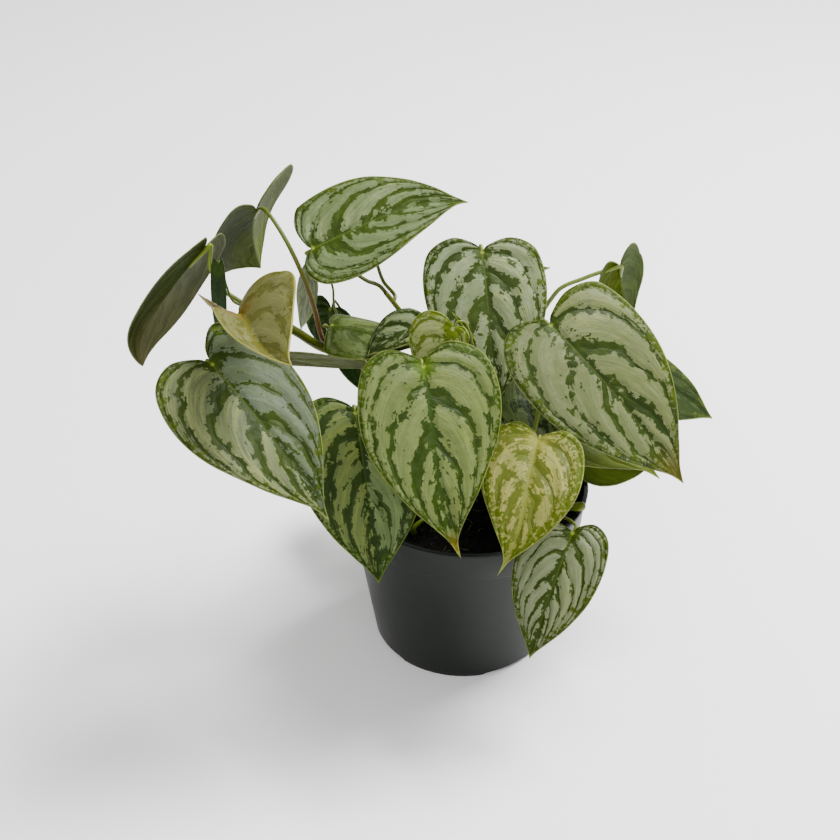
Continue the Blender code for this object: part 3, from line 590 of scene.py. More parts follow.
class Blade:
    """A heart-shaped blade, bent along its midrib, folded on either side of it and quilted"""

    def __init__(self, look, joint, tip, widths, roll=0, arch=10, hook=0, sway=0, twist=0, fold=(8, 8),
                 curl=(-16, -16), lobes=(1, 1), taper=0.3):
        self.joint = np.array(joint, float)
        self.widths = widths
        self.sway = sway
        self.twist = math.radians(twist)
        self.fold = np.radians(fold)
        self.curl = np.radians(curl)
        self.lobes = lobes
        self.taper = taper
        self.wave = WAVE_DEPTH * min(1, sum(widths) / FULL_WIDTH)
        self.spacing = look.spacing
        self.quilt = QUILT_DEPTH * look.relief
        chord = np.array(tip, float) - self.joint
        along = unit(chord)
        level = unit(np.cross(along, UP))
        above = np.cross(level, along)
        turn = math.radians(roll)
        self.across = level * math.cos(turn) + above * math.sin(turn)
        above = above * math.cos(turn) - level * math.sin(turn)
        self.bend_midrib(chord, along, above, math.radians(arch), math.radians(hook))

    def bend_midrib(self, chord, along, above, arch, hook):
        """Lay the midrib as an arch over its chord, hooked at the tip, and as far back for the lobes"""
        self.places = np.linspace(-1, 1, SPINE_STEPS + 1)
        slope = arch * (1 - 2 * self.places)
        slope -= hook * np.clip((self.places - HOOK_START) / (1 - HOOK_START), 0, None) ** 2
        self.ways = np.outer(np.cos(slope), along) + np.outer(np.sin(slope), above)
        steps = (self.ways[1:] + self.ways[:-1]) / SPINE_STEPS
        path = np.vstack([np.zeros(3), np.cumsum(steps, axis=0)])
        path -= path[SPINE_STEPS // 2]
        self.length = np.linalg.norm(chord) / np.dot(path[-1], along)
        path *= self.length
        self.path = path + np.outer(np.clip(self.places, 0, 1), chord - path[-1])

    def spine(self, place):
        """Point on the midrib and the directions along, across and above the blade there"""
        point = self.joint + [np.interp(place, self.places, self.path[:, k]) for k in range(3)]
        along = unit([np.interp(place, self.places, self.ways[:, k]) for k in range(3)])
        across = unit(self.across - along * np.dot(self.across, along))
        above = np.cross(across, along)
        turn = self.twist * min(max(place, -0.2), 1)
        return (point, along, across * math.cos(turn) + above * math.sin(turn),
                above * math.cos(turn) - across * math.sin(turn))

    def point(self, row, share, side, edge):
        """Point at a share of the way from the midrib to a point of the outline, and its place on
        the flat blade as shares of the half width and of the length; side is -1 or 1"""
        half = 0 if side < 0 else 1
        out, along = edge
        along *= self.lobes[half] if along < 0 else 1
        place = row ** MIDRIB_SPREAD * (1 - share) + along * share
        bend = self.curl[half] / self.widths[half]
        fold = self.fold[half]
        angle = fold + bend * share * out * self.widths[half]
        sideways = (math.sin(angle) - math.sin(fold)) / bend
        height = (math.cos(fold) - math.cos(angle)) / bend
        height += self.margin_wave(row, share, half) + self.bulge(row, share)
        inside = min(max(place, 0), 1)
        sideways += side * self.sway * SWAY_SCALE * inside ** 2 * (1 - inside)
        centre, _, across, above = self.spine(place)
        return centre + across * side * sideways + above * height, side * share * out, place

    def margin_wave(self, row, share, half):
        """Height of the wave along the margin, which fades towards the midrib and both ends"""
        calm = share ** 2 * min(1, 4 * row) * min(1, 5 * (1 - row))
        return self.wave * calm * math.sin(WAVE_COUNT * math.pi * row + self.widths[half] + half)

    def bulge(self, row, share):
        """Height of the quilted panels between the side veins, which fades on all sides"""
        middle = abs(vein_number(row, share) / self.spacing % 1 - 0.5) * 2
        calm = min(1, 4 * share) * min(1, 6 * (1 - share)) * min(1, 8 * row) * min(1, 6 * (1 - row))
        return self.quilt * (1 - middle ** 2) * calm


def blade_grid(blade):
    """Points of the blade's middle layer and the marks of each: vein number and row, distance to
    the margin and share of the way to it, then place on the flat blade across and along. The
    distance and the place are in centimetres."""
    edges = outline(blade.taper)
    columns = range(-BLADE_COLUMNS, BLADE_COLUMNS + 1)
    rows = [(0, 0)] + [(i, j) for i in range(1, BLADE_ROWS) for j in columns] + [(BLADE_ROWS, 0)]
    points, marks = [], []
    for i, j in rows:
        share = (abs(j) / BLADE_COLUMNS) ** COLUMN_CROWDING
        side = 1 if j > 0 else -1
        row = i / BLADE_ROWS
        point, out, place = blade.point(row, share, side, edges[i])
        edge = blade.point(row, 1, side, edges[i])[0]
        width_here = blade.widths[0 if side < 0 else 1]
        points.append(point)
        marks.append((vein_number(row, share), row, np.linalg.norm(edge - point) / 10, share,
                      out * width_here / 10, place * blade.length / 10))
    return np.array(points), marks


def grid_faces(last):
    """Faces of a blade's grid, with fans at the joint and the tip, and its margin's points in order"""
    width = 2 * BLADE_COLUMNS + 1
    faces = []
    for j in range(width - 1):
        faces.append((0, 1 + j, 2 + j))
        faces.append((last, last - width + 1 + j, last - width + j))
        for i in range(BLADE_ROWS - 2):
            a = 1 + i * width + j
            faces.append((a, a + width, a + width + 1, a + 1))
    margin = [0] + [1 + i * width for i in range(BLADE_ROWS - 1)] + [last]
    return faces, margin + [(i + 1) * width for i in reversed(range(BLADE_ROWS - 1))]


def blade_mesh(blade):
    """Points and faces of a thin blade, the marks of each face's corners, and how many faces are
    its upper side; its lower side has as many, and the rest are its margin"""
    points, marks = blade_grid(blade)
    count = len(points)
    faces, margin = grid_faces(count - 1)
    normals = np.zeros_like(points)
    for face in faces:
        a, b, c = face[:3]
        normals[list(face)] += np.cross(points[b] - points[a], points[c] - points[a])
    normals /= np.linalg.norm(normals, axis=1)[:, None]
    if np.dot(normals[(count - 1) // 2], blade.spine(0.3)[3]) < 0:
        faces = [f[::-1] for f in faces]
        normals = -normals
    else:
        margin = margin[::-1]
    half = BLADE_THICKNESS / 2
    band = list(zip(margin, margin[1:] + margin[:1]))
    corners = [blade_corners(face, marks, count - 1) for face in faces]
    corners += [marks_of[::-1] for marks_of in corners]
    corners += [[marks[a], marks[b], marks[b], marks[a]] for a, b in band]
    below = [tuple(k + count for k in f[::-1]) for f in faces]
    points = np.vstack([points + normals * half, points - normals * half])
    return points, faces + below + [(a, b, b + count, a + count) for a, b in band], corners, len(faces)


def blade_corners(face, marks, last):
    """Marks at a face's corners; at the joint and the tip, where all veins meet, the vein number
    and the share are those of the face's other corners"""
    corners = [list(marks[k]) for k in face]
    for end in (0, last):
        if end in face:
            others = [marks[k] for k in face if k != end]
            corner = corners[face.index(end)]
            corner[3] = (others[0][3] + others[1][3]) / 2
            corner[0] = vein_number(corner[1], corner[3])
    return corners


def smooth_route(points, start, end=None):
    """Points on a smooth curve through the given ones, which leaves and arrives as told"""
    points = [np.array(p, float) for p in points]
    ways = [unit(start)] + [unit(b - a) for a, b in zip(points, points[2:])]
    ways.append(unit(points[-1] - points[-2] if end is None else end))
    route = [points[0]]
    for a, b, way_a, way_b in zip(points, points[1:], ways, ways[1:]):
        reach = np.linalg.norm(b - a)
        for t in np.linspace(0, 1, STEPS_PER_SPAN + 1)[1:]:
            route.append(a * (2 * t ** 3 - 3 * t ** 2 + 1) + b * (3 * t ** 2 - 2 * t ** 3)
                         + way_a * reach * (t ** 3 - 2 * t ** 2 + t) + way_b * reach * (t ** 3 - t ** 2))
    return route


def rising_route(foot, points, end=None):
    """Route from a little below the soil's top, straight up at its foot and then through the points"""
    start = np.array((*foot, STEM_FLOOR))
    return [start] + smooth_route([(*foot, STEM_BEND), *points], UP, end)


def radii_along(route, first, last):
    """Radius at each point of a route that thins from its start to its end"""
    gone = ways_gone(route)
    return list(np.interp(gone, (0, gone[-1]), (first, last)))


def round_end(route, radii):
    """The same route with a dome at its end"""
    way, radius = unit(route[-1] - route[-2]), radii[-1]
    turns = [math.radians(angle) for angle in DOME_ANGLES]
    return (route + [route[-1] + way * radius * math.sin(turn) for turn in turns],
            radii + [radius * math.cos(turn) for turn in turns])


def tube_mesh(route, radii, sides):
    """Closed round solid along a route; the marks of its faces' corners are the way along it, in
    decimetres and as a share, and the share of the way round it"""
    ways = [unit(b - a) for a, b in zip(route, route[1:])]
    ways = [ways[0]] + [unit(a + b) for a, b in zip(ways, ways[1:])] + [ways[-1]]
    side = unit(np.cross(ways[0], (1, 0.2, 0) if abs(ways[0][2]) > 0.8 else UP))
    gone = ways_gone(route)
    points = []
    for point, way, radius in zip(route, ways, radii):
        side = unit(side - way * np.dot(side, way))
        other = np.cross(way, side)
        points += [point + radius * (side * c + other * s) for c, s in circle(1, sides)]

    def mark(i, k):
        return gone[i] / 100, gone[i] / gone[-1], k / sides, 0, 0, 0

    faces = [tuple(reversed(range(sides))), tuple(len(points) - sides + k for k in range(sides))]
    last = len(route) - 1
    corners = [[mark(0, k) for k in reversed(range(sides))], [mark(last, k) for k in range(sides)]]
    for i in range(last):
        for k in range(sides):
            a, b = i * sides + k, i * sides + (k + 1) % sides
            faces.append((a, b, b + sides, a + sides))
            corners.append([mark(i, k), mark(i, k + 1), mark(i + 1, k + 1), mark(i + 1, k)])
    return points, faces, corners


def leave_vine(vine, station, toward):
    """Point just clear of a vine and the way out of it: square to it, or on from its end"""
    route = rising_route(vine["foot"], vine["route"])
    index = 1 + int(STEPS_PER_SPAN * (station + 1))
    axis, vine_way = route[index], unit(route[index] - route[index - 1])
    if index >= len(route) - 1:
        return route[-1] + vine_way * CLEARANCE, vine_way
    out = np.array(toward, float) - axis
    out = unit(out - vine_way * np.dot(out, vine_way))
    return axis + out * (radii_along(route, *vine["radii"])[index] + CLEARANCE), out


def petiole_mesh(leaf, blade):
    """Petiole from its foot to its joint and a little way along under the midrib"""
    radius = leaf.get("stalk", STALK_LEAST + STALK_PER_WIDTH * sum(leaf["widths"]))
    joint, along, _, above = blade.spine(0)
    neck = joint - along * NECK_BACK - above * NECK_DROP
    if "vine" in leaf:
        start, way = leave_vine(VINES[leaf["vine"]], leaf["station"], leaf["route"][0])
        curve = smooth_route([start + way * STALK_STUB, *leaf["route"], neck], way, along)
        route = [start - way * (CLEARANCE + STALK_OVERLAP)] + curve
    else:
        route = rising_route(leaf["foot"], [*leaf["route"], neck], along)
    radii = radii_along(route, radius * BASE_SWELL, radius)
    for place, depth, share in UNDER_MIDRIB:
        point, _, _, above = blade.spine(place)
        route.append(point - above * depth)
        radii.append(radius * share)
    return tube_mesh(route, radii, STEM_SIDES)


def follow(finish, at, fine, long, apart, shift, detail=2.0, rough=0.5):
    """Noise drawn out along the side veins, of its own on either side of the midrib"""
    place = (at.vein * fine, at.row * long, at.side * apart + (at.seed + shift))
    return finish.noise(place, 1.0, detail, rough)


def blade_places(finish, seed, middle):
    """Where a point of a blade is: its side vein and row, its distances from the margin and the
    midrib, its place on the flat blade, and its side, 0 or 1"""
    at = SimpleNamespace(seed=seed)
    at.vein, at.row = finish.pair("vein")
    at.rim, _ = finish.pair("edge")
    at.x, at.y = finish.pair("flat")
    at.flat = (at.x, at.y, seed)
    at.across = abs(at.x)
    at.side = at.x.step(-middle, middle)
    return at


def face_places(finish, seed):
    """The same with the distance from the joint and the noises that several markings share"""
    at = blade_places(finish, seed, 0.02)
    place = finish.node("CombineXYZ", {}, [at.x, at.y])
    at.joint = finish.node("VectorMath", {"operation": "LENGTH"}, [place], 1)
    at.ragged = finish.noise(at.flat, 7.0, 4.0, 0.65) - 0.5
    at.blot = finish.noise(at.flat, 2.2) - 0.5
    at.drift = finish.noise(at.flat, 0.8, 1.0) - 0.5
    at.cloud = finish.noise(at.flat, 1.1)
    at.flame = follow(finish, at, 16, 9, 5, 0, 3.0, 0.6) - 0.5
    at.brush = follow(finish, at, 56, 11, 3, 0, 4.0, 0.62)
    return at


def stripe_fields(finish, look, at):
    """How far a place is from its side vein, from 0 to 1, and how wide the vein's stripe is there"""
    weight = follow(finish, at, 4, 2, 7, 3, 1.0) - 0.5
    apart = ((at.vein + at.drift * 0.2 + at.side * 0.05) / look.spacing).swing(0.5) * 2
    width = 0.2 + look.green + at.across.step(1.1, 0.1) * 0.12 + weight * 1.1 * look.calm
    return apart, width + (at.blot * 0.9 + at.flame) * look.calm + at.ragged * 0.5


def midrib_field(at):
    """The dark midrib, widest and torn below the joint, with a torn patch round the joint"""
    swell = at.y.step(0.1, 1.8) * (1.1 - at.row)
    torn = (at.ragged * 0.8 + at.blot * 1.1 + at.flame * 0.6) * at.y.step(0.2, 1.2)
    crown = (0.45 + torn + at.ragged - at.joint).step(-0.006, 0.012)
    return (0.05 + swell * 0.2 + torn * 0.7 - at.across).step(-0.006, 0.012).most(crown)


def fleck_field(finish, look, at, apart, width):
    """Green flecks, mostly near the stripes, the margin and the midrib"""
    near = at.rim.step(0.9, 0.2) * 0.8 + (apart - width).step(0.35, 0.0) + at.across.step(0.7, 0.2) * 0.5
    fleck = follow(finish, at, 30, 16, 3, 8) * 0.6 + at.blot * 0.5 + at.ragged * 0.3
    return (fleck + near.least(1) * 0.14 + look.green).step(0.44, 0.47)


def silver_colour(finish, look, at, veil):
    """Silver of the panels, cloudy and duller beside the stripes, with brush streaks and grain, and the
    right half in its own tone, which is painted light and shade
    """
    grain = finish.noise(at.flat, 24.0, 2.0, 0.6)
    shade = follow(finish, at, 11, 4, 2, 5, 3.0, 0.55)
    return finish.layered(
        look.silver,
        (at.cloud.step(0.35, 0.65), look.silver_far),
        # painted light and shade: the right half's own silver stands for the light that half takes
        (at.side, look.silver_right),
        (shade.step(0.36, 0.64) * 0.7, look.silver_low),
        (veil * 0.4, look.silver_low),
        (at.brush.step(0.64, 0.34) * look.streak, scaled(look.silver, 0.55)),
        (grain.step(0.62, 0.34) * 0.25, scaled(look.silver, 0.6)))


def margin_coat(finish, look, at, silver):
    """Mottled green band along the margin, with pale flecks: where it shows, and its colour"""
    reach = look.border + at.y.step(0.8, -0.6) * look.crest + at.blot * 1.2 + at.ragged * 0.9
    green = finish.blend((at.cloud + at.ragged * 0.4).step(0.35, 0.6), look.dark, look.margin)
    fleck = finish.noise((at.x, at.y, at.seed + 13), 6.0, 2.0, 0.45) + at.rim * 0.08
    return (reach - at.rim).step(-0.008, 0.015), finish.blend(fleck.step(0.56, 0.6) * 0.8, green, silver)


def leaf_face(name, look, seed):
    """Upper face: silver panels parted by ragged dark green side veins, a dark midrib, a mottled
    green margin with flecks, and a fine pale line round it, a painted highlight along the edge"""
    finish = Finish(name, 0.42, 0.1)
    at = face_places(finish, seed)
    apart, width = stripe_fields(finish, look, at)
    stripe = (width - apart).step(-0.015, 0.03)
    green = finish.blend((at.drift + at.ragged * 0.5 + at.flame).step(-0.16, 0.2),
                         scaled(look.dark, 0.85), mixed(look.dark, look.margin, 0.75, 0.25))
    green_share = stripe.most(fleck_field(finish, look, at, apart, width)) * look.strength
    silver = silver_colour(finish, look, at, (width + 0.3 + at.ragged * 0.8 - apart).step(0.0, 0.2))
    rib = (0.035 - at.across).step(-0.02, 0.015) * (1.0 - at.row * 1.1).most(0)
    heart, reach, amount = look.heart
    colour = finish.layered(
        silver,
        (green_share, green),
        margin_coat(finish, look, at, silver),
        (midrib_field(at), look.midrib),
        (rib * 0.6, look.rib),
        ((at.row + at.ragged * 0.1).step(*look.tip_rows) * 0.85, look.tip),
        ((at.joint + at.ragged * 0.6).step(reach, 0.1) * amount, heart),
        (at.joint.step(0.14, 0.05), look.bud),
        # painted highlight: the fine pale line along the margin, where the edge catches the light
        ((0.035 - at.rim).step(-0.015, 0.0) * 0.7, look.rim))
    quilt = apart * (2 - apart) * at.across.step(0.0, 0.3)
    height = quilt * 0.5 + at.brush * 0.2 + at.blot * 0.3
    return finish.set(Base_Color=colour, Roughness=0.4 + look.dull + at.brush * 0.16,
                      Normal=finish.bump(height, 0.002, look.relief))


def leaf_underside(name, look, seed):
    """Lower face: paler and duller, with the midrib and side veins standing out"""
    finish = Finish(name, 0.6, 0.04)
    at = blade_places(finish, seed, 0.04)
    brush = follow(finish, at, 60, 5, 3, 0, 3.0, 0.6)
    at.vein = at.vein + (finish.noise(at.flat, 0.9) - 0.5) * 0.3
    ghost = follow(finish, at, 9, 3, 3, 4)
    apart = (at.vein / 0.16).swing(0.5) * 2
    left, right = look.under
    deep = finish.blend(at.side, scaled(left, 0.5), scaled(right, 0.5))
    pale = finish.blend(at.side, scaled(left, 1.5), scaled(right, 1.25))
    rib = (0.1 - at.across).step(-0.02, 0.08) * (1.05 - at.row)
    colour = finish.layered(
        left,
        # painted light: each half has its own tone, for the light that shines through one half and falls on
        # the other
        (at.side, right),
        (at.row.step(0.45, 0.95) * 0.8, look.under_tip),
        (at.row.step(0.4, 0.0) * 0.8, look.under_base),
        (ghost.step(0.45, 0.62) * 0.65, deep),
        (ghost.step(0.42, 0.3) * 0.5, pale),
        (brush.step(0.35, 0.7) * 0.3, deep),
        (finish.noise(at.flat, 1.4).step(0.4, 0.7) * 0.35, deep),
        (rib * 0.7, look.rib),
        ((0.08 - apart).step(-0.04, 0.04) * 0.14, look.rib),
        # painted highlight: the pale line along the margin, where the edge catches the light
        ((0.05 - at.rim).step(-0.02, 0.01) * 0.8, look.rim))
    height = rib * 1.2 + (0.16 - apart).step(-0.1, 0.16) * 0.4 + brush * 0.2
    return finish.set(Base_Color=colour, Normal=finish.bump(height, 0.0007, 0.8))


def stalk_finish(name, low, high, seed):
    """Petiole or vine: fine lengthwise streaks, from one colour at its base to another at its end"""
    finish = Finish(name, 0.42, 0.3)
    gone, along = finish.pair("vein")
    around, _ = finish.pair("edge")
    streak = finish.noise((gone * 6, around * 9, seed), 1.0, 3.0, 0.6)
    rise = along.step(0.05, 0.6)
    dark = finish.blend(rise, scaled(low, 0.55), scaled(high, 0.6))
    colour = finish.blend(streak.step(0.4, 0.7) * 0.7, finish.blend(rise, low, high), dark)
    return finish.set(Base_Color=colour, Normal=finish.bump(streak, 0.0003, 0.6))


def leaf_look(name):
    """All the colours and amounts of a leaf's finish"""
    look = {**PLAIN_LOOK, **LOOKS.get(name, {})}
    look = {key: surface_colours(value) for key, value in look.items()}
    silver, margin = look["silver"], look["margin"]
    under = mixed(*look["under"], 0.5, 0.5)
    spare = dict(midrib=look["dark"], tip=margin, under_tip=under, silver_right=silver,
                 silver_far=tuple(c * k for c, k in zip(silver, (1.08, 1.06, 0.8))),
                 silver_low=mixed(silver, margin, 0.4, 0.5))
    look = SimpleNamespace(**{**spare, **look})
    look.under_base = getattr(look, "under_base", look.under_tip)
    return look


def make_leaf(name, leaf, seed):
    """One leaf: its blade and its petiole"""
    look = leaf_look(name)
    blade = Blade(look, **{key: value for key, value in leaf.items() if key not in PETIOLE_KEYS})
    points, faces, marks, top = blade_mesh(blade)
    kinds = [0] * top + [1] * top + [0] * (len(faces) - 2 * top)
    materials = [leaf_face(name + "_face", look, seed), leaf_underside(name + "_underside", look, seed)]
    if "route" in leaf:
        stalk_points, stalk_faces, stalk_marks = petiole_mesh(leaf, blade)
        faces = faces + [tuple(k + len(points) for k in f) for f in stalk_faces]
        points = np.vstack([points, stalk_points])
        marks = marks + stalk_marks
        kinds += [2] * len(stalk_faces)
        ends = PETIOLE_LOOKS.get(name, PLAIN_PETIOLE)
        materials.append(stalk_finish(name + "_petiole", tone(*ends["low"]), tone(*ends["high"]), seed))
    add_piece("plant_" + name, points, faces, marks, kinds, materials, name)


def make_leaves():
    """All the leaves, each with markings of its own"""
    for number, (name, leaf) in enumerate(LEAVES.items()):
        make_leaf(name, leaf, SEED_STEP * number)


def make_stem(name, route, radii, finish):
    """One vine or shoot"""
    points, faces, marks = tube_mesh(route, radii, STEM_SIDES)
    add_piece("plant_" + name, points, faces, marks, None, [finish], name)


def make_vines():
    """The two leafy stems and the short shoots"""
    # painted shade: the near-black at the vines' lower ends stands for deep shade, over the old stems' own
    # dark brown-green
    green = stalk_finish("vine_olive", tone(30, 30, 16), tone(112, 120, 40), 1.0)
    for name, vine in VINES.items():
        route = rising_route(vine["foot"], vine["route"])
        make_stem(name, route, radii_along(route, *vine["radii"]), green)
    lime = stalk_finish("shoot_lime", tone(70, 84, 24), tone(128, 144, 66), 2.0)
    for name, shoot in SHOOTS.items():
        route = rising_route(shoot["foot"], shoot["route"])[:-1]
        make_stem(name, *round_end(route, radii_along(route, *shoot["radii"])), lime)


def pot_inner_radius(height):
    """Radius of the inside of the pot's wall at a height"""
    radii = (POT_BASE_RADIUS, POT_NECK_RADIUS, POT_COLLAR_RADIUS, POT_COLLAR_RADIUS + POT_COLLAR_FLARE)
    outer = np.interp(height, (0, POT_NECK_HEIGHT, POT_NECK_HEIGHT + 1, POT_HEIGHT), radii)
    return float(outer) - POT_WALL


def pot_finish():
    """Dark grey moulded plastic with a satin sheen and faint flow marks"""
    finish = Finish("pot_plastic", 0.4, 0.18)
    place = finish.object_place()
    grain = finish.noise(place, 900.0, 3.0, 0.6)
    flow = finish.noise(place, 26.0, 3.0, 0.5)
    colour = finish.blend(flow.step(0.3, 0.7), tone(20, 25, 20), tone(27, 32, 26))
    return finish.set(Base_Color=colour, Roughness=0.34 + flow * 0.16,
                      Normal=finish.bump(grain, 0.00005, 0.5))


def pot_profile():
    """Radius and height of points round half the pot's section: up inside, over the rolled rim, down
    outside and back under the foot ring and the pad, with small roundings"""
    floor = FOOT_HEIGHT + FLOOR_THICKNESS
    top, under_rim, bend = POT_HEIGHT, POT_HEIGHT - POT_RIM_DEPTH, POT_NECK_HEIGHT
    base, neck, collar, rim = POT_BASE_RADIUS, POT_NECK_RADIUS, POT_COLLAR_RADIUS, POT_RIM_RADIUS
    ring, pad = base - FOOT_RING_WIDTH, FOOT_PAD_RADIUS
    foot, mouth = pot_inner_radius(floor), pot_inner_radius(top)
    inside = [(pot_inner_radius(height), height) for height in (40, bend, bend + 1)]
    return [(0, floor), (20, floor), (foot - 1, floor), (foot, floor + 1), *inside,
            (mouth, top - 0.7), (mouth + 0.35, top - 0.15), (collar, top),
            (rim - 0.7, top), (rim - 0.2, top - 0.2), (rim, top - 0.7), (rim - 0.15, under_rim + 0.3),
            (rim - 0.5, under_rim), (collar + POT_COLLAR_FLARE, under_rim - 0.5),
            (collar, bend + 1.3), (collar - 0.3, bend + 0.8), (neck, bend - 0.2), (neck - 4.5, bend - 25),
            (base + 0.75, 3.2), (base + 0.3, 0.9), (base, 0.25), (base - 0.4, 0),
            (ring, 0), (ring - 0.5, FOOT_HEIGHT), (pad + 0.5, FOOT_HEIGHT), (pad, 0), (0, 0)]


def make_pot():
    """Nursery pot, turned round its axis, with notches in its foot ring and drain holes"""
    mesh = bpy.data.meshes.new("pot_wall")
    shape = bmesh.new()
    corners = [shape.verts.new((r * MM, 0.0, z * MM)) for r, z in pot_profile()]
    edges = [shape.edges.new(pair) for pair in zip(corners, corners[1:])]
    bmesh.ops.spin(shape, geom=corners + edges, cent=(0, 0, 0), axis=(0, 0, 1), angle=math.tau,
                   steps=POT_SIDES, use_merge=True)
    bmesh.ops.remove_doubles(shape, verts=shape.verts[:], dist=1e-7)
    bmesh.ops.recalc_face_normals(shape, faces=shape.faces[:])
    shape.to_mesh(mesh)
    shape.free()
    mesh.materials.append(pot_finish())
    pot = link(bpy.data.objects.new("pot_wall", mesh))
    cutters = [foot_notch(math.radians(angle)) for angle in NOTCH_ANGLES]
    cutters += [drain_cutter(math.tau * (k + 0.5) / DRAIN_COUNT) for k in range(DRAIN_COUNT)]
    cut_out(pot, cutters)
    pot.data.shade_smooth()
    pot.data.set_sharp_from_angle(angle=math.radians(POT_SHARP_ANGLE))
    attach(pot, "root")
    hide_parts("pot")


def prism(name, rings):
    """Closed solid between two rings with the same number of points"""
    count = len(rings[0])
    faces = [tuple(reversed(range(count))), tuple(range(count, 2 * count))]
    faces += [(k, (k + 1) % count, count + (k + 1) % count, count + k) for k in range(count)]
    return solid(name, [p for ring in rings for p in ring], faces)


def foot_notch(angle):
    """Cutter for a shallow arch in the foot ring, centred on an angle round the pot"""
    outward = np.array((math.cos(angle), math.sin(angle), 0))
    sideways = np.array((-math.sin(angle), math.cos(angle), 0))
    half = NOTCH_WIDTH / 2
    arch = [(-half, -1), (half, -1)]
    for a in np.linspace(0.05, math.pi - 0.05, NOTCH_STEPS):
        reach = half * abs(math.cos(a)) ** 0.6
        arch.append((reach if a < math.pi / 2 else -reach, NOTCH_HEIGHT * math.sin(a) ** 0.5))
    near, far = POT_BASE_RADIUS - 2 * FOOT_RING_WIDTH, POT_BASE_RADIUS + FOOT_RING_WIDTH
    return prism("notch", [[outward * r + sideways * x + UP * z for x, z in arch] for r in (near, far)])


def drain_cutter(angle):
    """Cutter for a drain hole in the pot's floor, at an angle round the pot"""
    x, y = DRAIN_CIRCLE_RADIUS * math.cos(angle), DRAIN_CIRCLE_RADIUS * math.sin(angle)
    ring = [(x + across, y + along) for across, along in circle(DRAIN_RADIUS, DRAIN_SIDES)]
    return prism("drain", [[(*p, z) for p in ring] for z in (-1, FOOT_HEIGHT + FLOOR_THICKNESS + 1)])


def cut_out(item, cutters):
    """Cut the item by all the cutters and remove them"""
    group = bpy.data.collections.new("cutters")
    bpy.context.scene.collection.children.link(group)
    for cutter in cutters:
        group.objects.link(cutter)
    modifier = item.modifiers.new("cut", "BOOLEAN")
    modifier.operation = "DIFFERENCE"
    modifier.operand_type = "COLLECTION"
    modifier.collection = group
    modifier.solver = "EXACT"
    bpy.context.view_layer.update()
    result = bpy.data.meshes.new_from_object(item.evaluated_get(bpy.context.evaluated_depsgraph_get()))
    item.modifiers.clear()
    item.data = result
    for cutter in cutters:
        bpy.data.objects.remove(cutter, do_unlink=True)
    bpy.data.collections.remove(group)


def soil_height(x, y):
    """Height of the soil's gently uneven top at a place"""
    swell = 0.9 * math.sin(0.13 * x + 0.5) * math.cos(0.11 * y - 0.4)
    crumbs = 0.5 * math.sin(0.41 * x - 0.23 * y) + 0.3 * math.sin(0.67 * y + 0.19 * x)
    return SOIL_LEVEL + swell + crumbs


def soil_finish(name):
    """Dark damp peat: near black, with brown fibres and a few pale grains"""
    finish = Finish(name, 0.9, 0.08)
    place = finish.object_place()
    coarse = finish.noise(place, 260.0, 5.0, 0.7)
    fine = finish.noise(place, 1100.0, 4.0, 0.7)
    colour = finish.blend(coarse.step(0.35, 0.75), tone(2, 2, 2), tone(22, 20, 16))
    colour = finish.blend(fine.step(0.66, 0.74), colour, tone(92, 82, 62))
    return finish.set(Base_Color=colour, Normal=finish.bump(coarse + fine * 0.5, 0.0012, 1.0))


def soil_top():
    """Points of the soil's crumbly top, ring by ring; fine waves roughen it, less near the wall"""
    rng = np.random.default_rng(5)
    waves = [(rng.uniform(0.4, 2.4, 2) * rng.choice((-1, 1), 2), rng.uniform(0, math.tau))
             for _ in range(SOIL_WAVES)]
    radius = pot_inner_radius(SOIL_LEVEL) - SOIL_CLEARANCE
    points = [(0.0, 0.0, soil_height(0.0, 0.0))]
    for ring in range(1, SOIL_RINGS + 1):
        share = ring / SOIL_RINGS
        for x, y in circle(radius * share, SOIL_SIDES):
            rough = sum(math.sin(w[0] * x + w[1] * y + p) / (0.6 + abs(w[0]) + abs(w[1])) for w, p in waves)
            calm = min(1, 2.5 * (1 - share) + 0.3)
            points.append((x, y, soil_height(x, y) + SOIL_ROUGHNESS * rough * calm))
    return points


def make_soil():
    """Soil that fills the pot, with a crumbly top"""
    points = soil_top()
    floor = FOOT_HEIGHT + FLOOR_THICKNESS + SOIL_CLEARANCE
    for level in (POT_NECK_HEIGHT, floor):
        ring = circle(pot_inner_radius(level) - SOIL_CLEARANCE, SOIL_SIDES)
        points += [(x, y, level) for x, y in ring]
    points.append((0.0, 0.0, floor))
    around = [(k, (k + 1) % SOIL_SIDES) for k in range(SOIL_SIDES)]
    faces = [(0, 1 + a, 1 + b) for a, b in around]
    for first in range(1, 1 + (SOIL_RINGS + 1) * SOIL_SIDES, SOIL_SIDES):
        faces += [(first + a, first + a + SOIL_SIDES, first + b + SOIL_SIDES, first + b) for a, b in around]
    last = 1 + (SOIL_RINGS + 1) * SOIL_SIDES
    faces += [(len(points) - 1, last + b, last + a) for a, b in around]
    add_piece("soil_fill", points, faces, None, None, [soil_finish("soil_peat")], "soil")


def loose_bit(rng, root):
    """Route and radii of one bit on the soil: a thin arched root bit, or a short thick crumb"""
    reach, angle = LITTER_RADIUS * math.sqrt(rng.uniform()), rng.uniform(0, math.tau)
    x, y = reach * math.cos(angle), reach * math.sin(angle)
    heading, bend = rng.uniform(0, math.tau), rng.uniform(-0.6, 0.6)
    step = rng.uniform(0.5, 1.5) if root else rng.uniform(0.2, 0.45)
    size = rng.uniform(0.08, 0.16) if root else rng.uniform(0.4, 0.9)
    arch = rng.uniform(0.0, 1.6) if root else 0.0
    route, radii = [], []
    for k in range(LITTER_STEPS + 1):
        share = math.sin(math.pi * k / LITTER_STEPS)
        route.append(np.array((x, y, soil_height(x, y) + LITTER_LIFT + arch * share)))
        radii.append(size if root else size * (0.25 + 0.75 * share) * rng.uniform(0.8, 1.1))
        x, y = x + step * math.cos(heading), y + step * math.sin(heading)
        heading += bend
    return route, radii


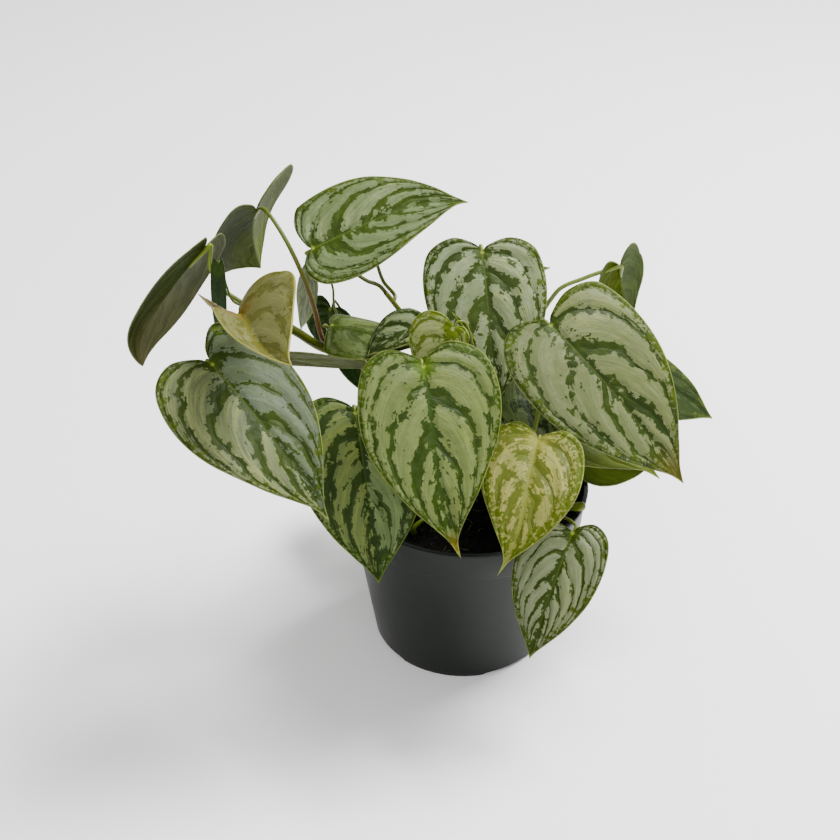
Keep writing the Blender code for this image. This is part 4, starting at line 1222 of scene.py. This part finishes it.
def make_loose_bits():
    """Thin pale root bits and dark crumbs lying on the soil"""
    pale = Finish("root_bits", 0.8, 0.1)
    shade = pale.noise(pale.object_place(), 300.0)
    pale.set(Base_Color=pale.blend(shade.step(0.4, 0.6), tone(42, 38, 26), tone(120, 114, 88)))
    rng = np.random.default_rng(11)
    points, faces, kinds = [], [], []
    for kind, count in enumerate((ROOT_BITS, CRUMBS)):
        for _ in range(count):
            part_points, part_faces, _ = tube_mesh(*loose_bit(rng, kind == 0), LITTER_SIDES)
            faces += [tuple(k + len(points) for k in face) for face in part_faces]
            points += part_points
            kinds += [kind] * len(part_faces)
    add_piece("soil_loose_bits", points, faces, None, kinds, [pale.material, soil_finish("crumb_bark")],
              "soil")


def make_floor():
    """Pale floor under the pot"""
    finish = Finish("floor_white", 0.7, 0.2)
    finish.shader.inputs["Base Color"].default_value = FLOOR_WHITE
    reach = FLOOR_REACH / MM
    floor = solid("floor", [(-reach, -reach, 0), (reach, -reach, 0), (reach, reach, 0), (-reach, reach, 0)],
                  [(0, 1, 2, 3)])
    floor.data.materials.append(finish.material)


def make_lights():
    """Soft square lights, turned to the plant, and pale surroundings"""
    for name, lamp in LIGHTS.items():
        data = bpy.data.lights.new(name, "AREA")
        data.size = lamp["size"]
        data.energy = lamp["power"]
        light = link(bpy.data.objects.new(name, data))
        light.location = lamp["place"]
        way = Vector(LIGHT_AIM) - Vector(lamp["place"])
        light.rotation_euler = way.to_track_quat("-Z", "Y").to_euler()
    world = bpy.data.worlds.new("studio")
    world.use_nodes = True
    sky = world.node_tree.nodes["Background"]
    sky.inputs["Color"].default_value = WHITE
    sky.inputs["Strength"].default_value = SKY_STRENGTH
    bpy.context.scene.world = world


def make_camera():
    """Camera that looks down on the plant from the front"""
    data = bpy.data.cameras.new("camera")
    data.lens = CAMERA_LENS
    data.sensor_width = CAMERA_SENSOR
    camera = link(bpy.data.objects.new("camera", data))
    tilt = Matrix.Rotation(math.radians(90 - CAMERA_PITCH), 4, "X")
    roll = Matrix.Rotation(math.radians(CAMERA_ROLL), 4, "Z")
    camera.matrix_world = Matrix.Translation([c * MM for c in CAMERA_PLACE]) @ tilt @ roll
    bpy.context.scene.camera = camera


make_floor()
make_lights()
make_camera()
make_pot()
make_soil()
make_loose_bits()
make_vines()
make_leaves()
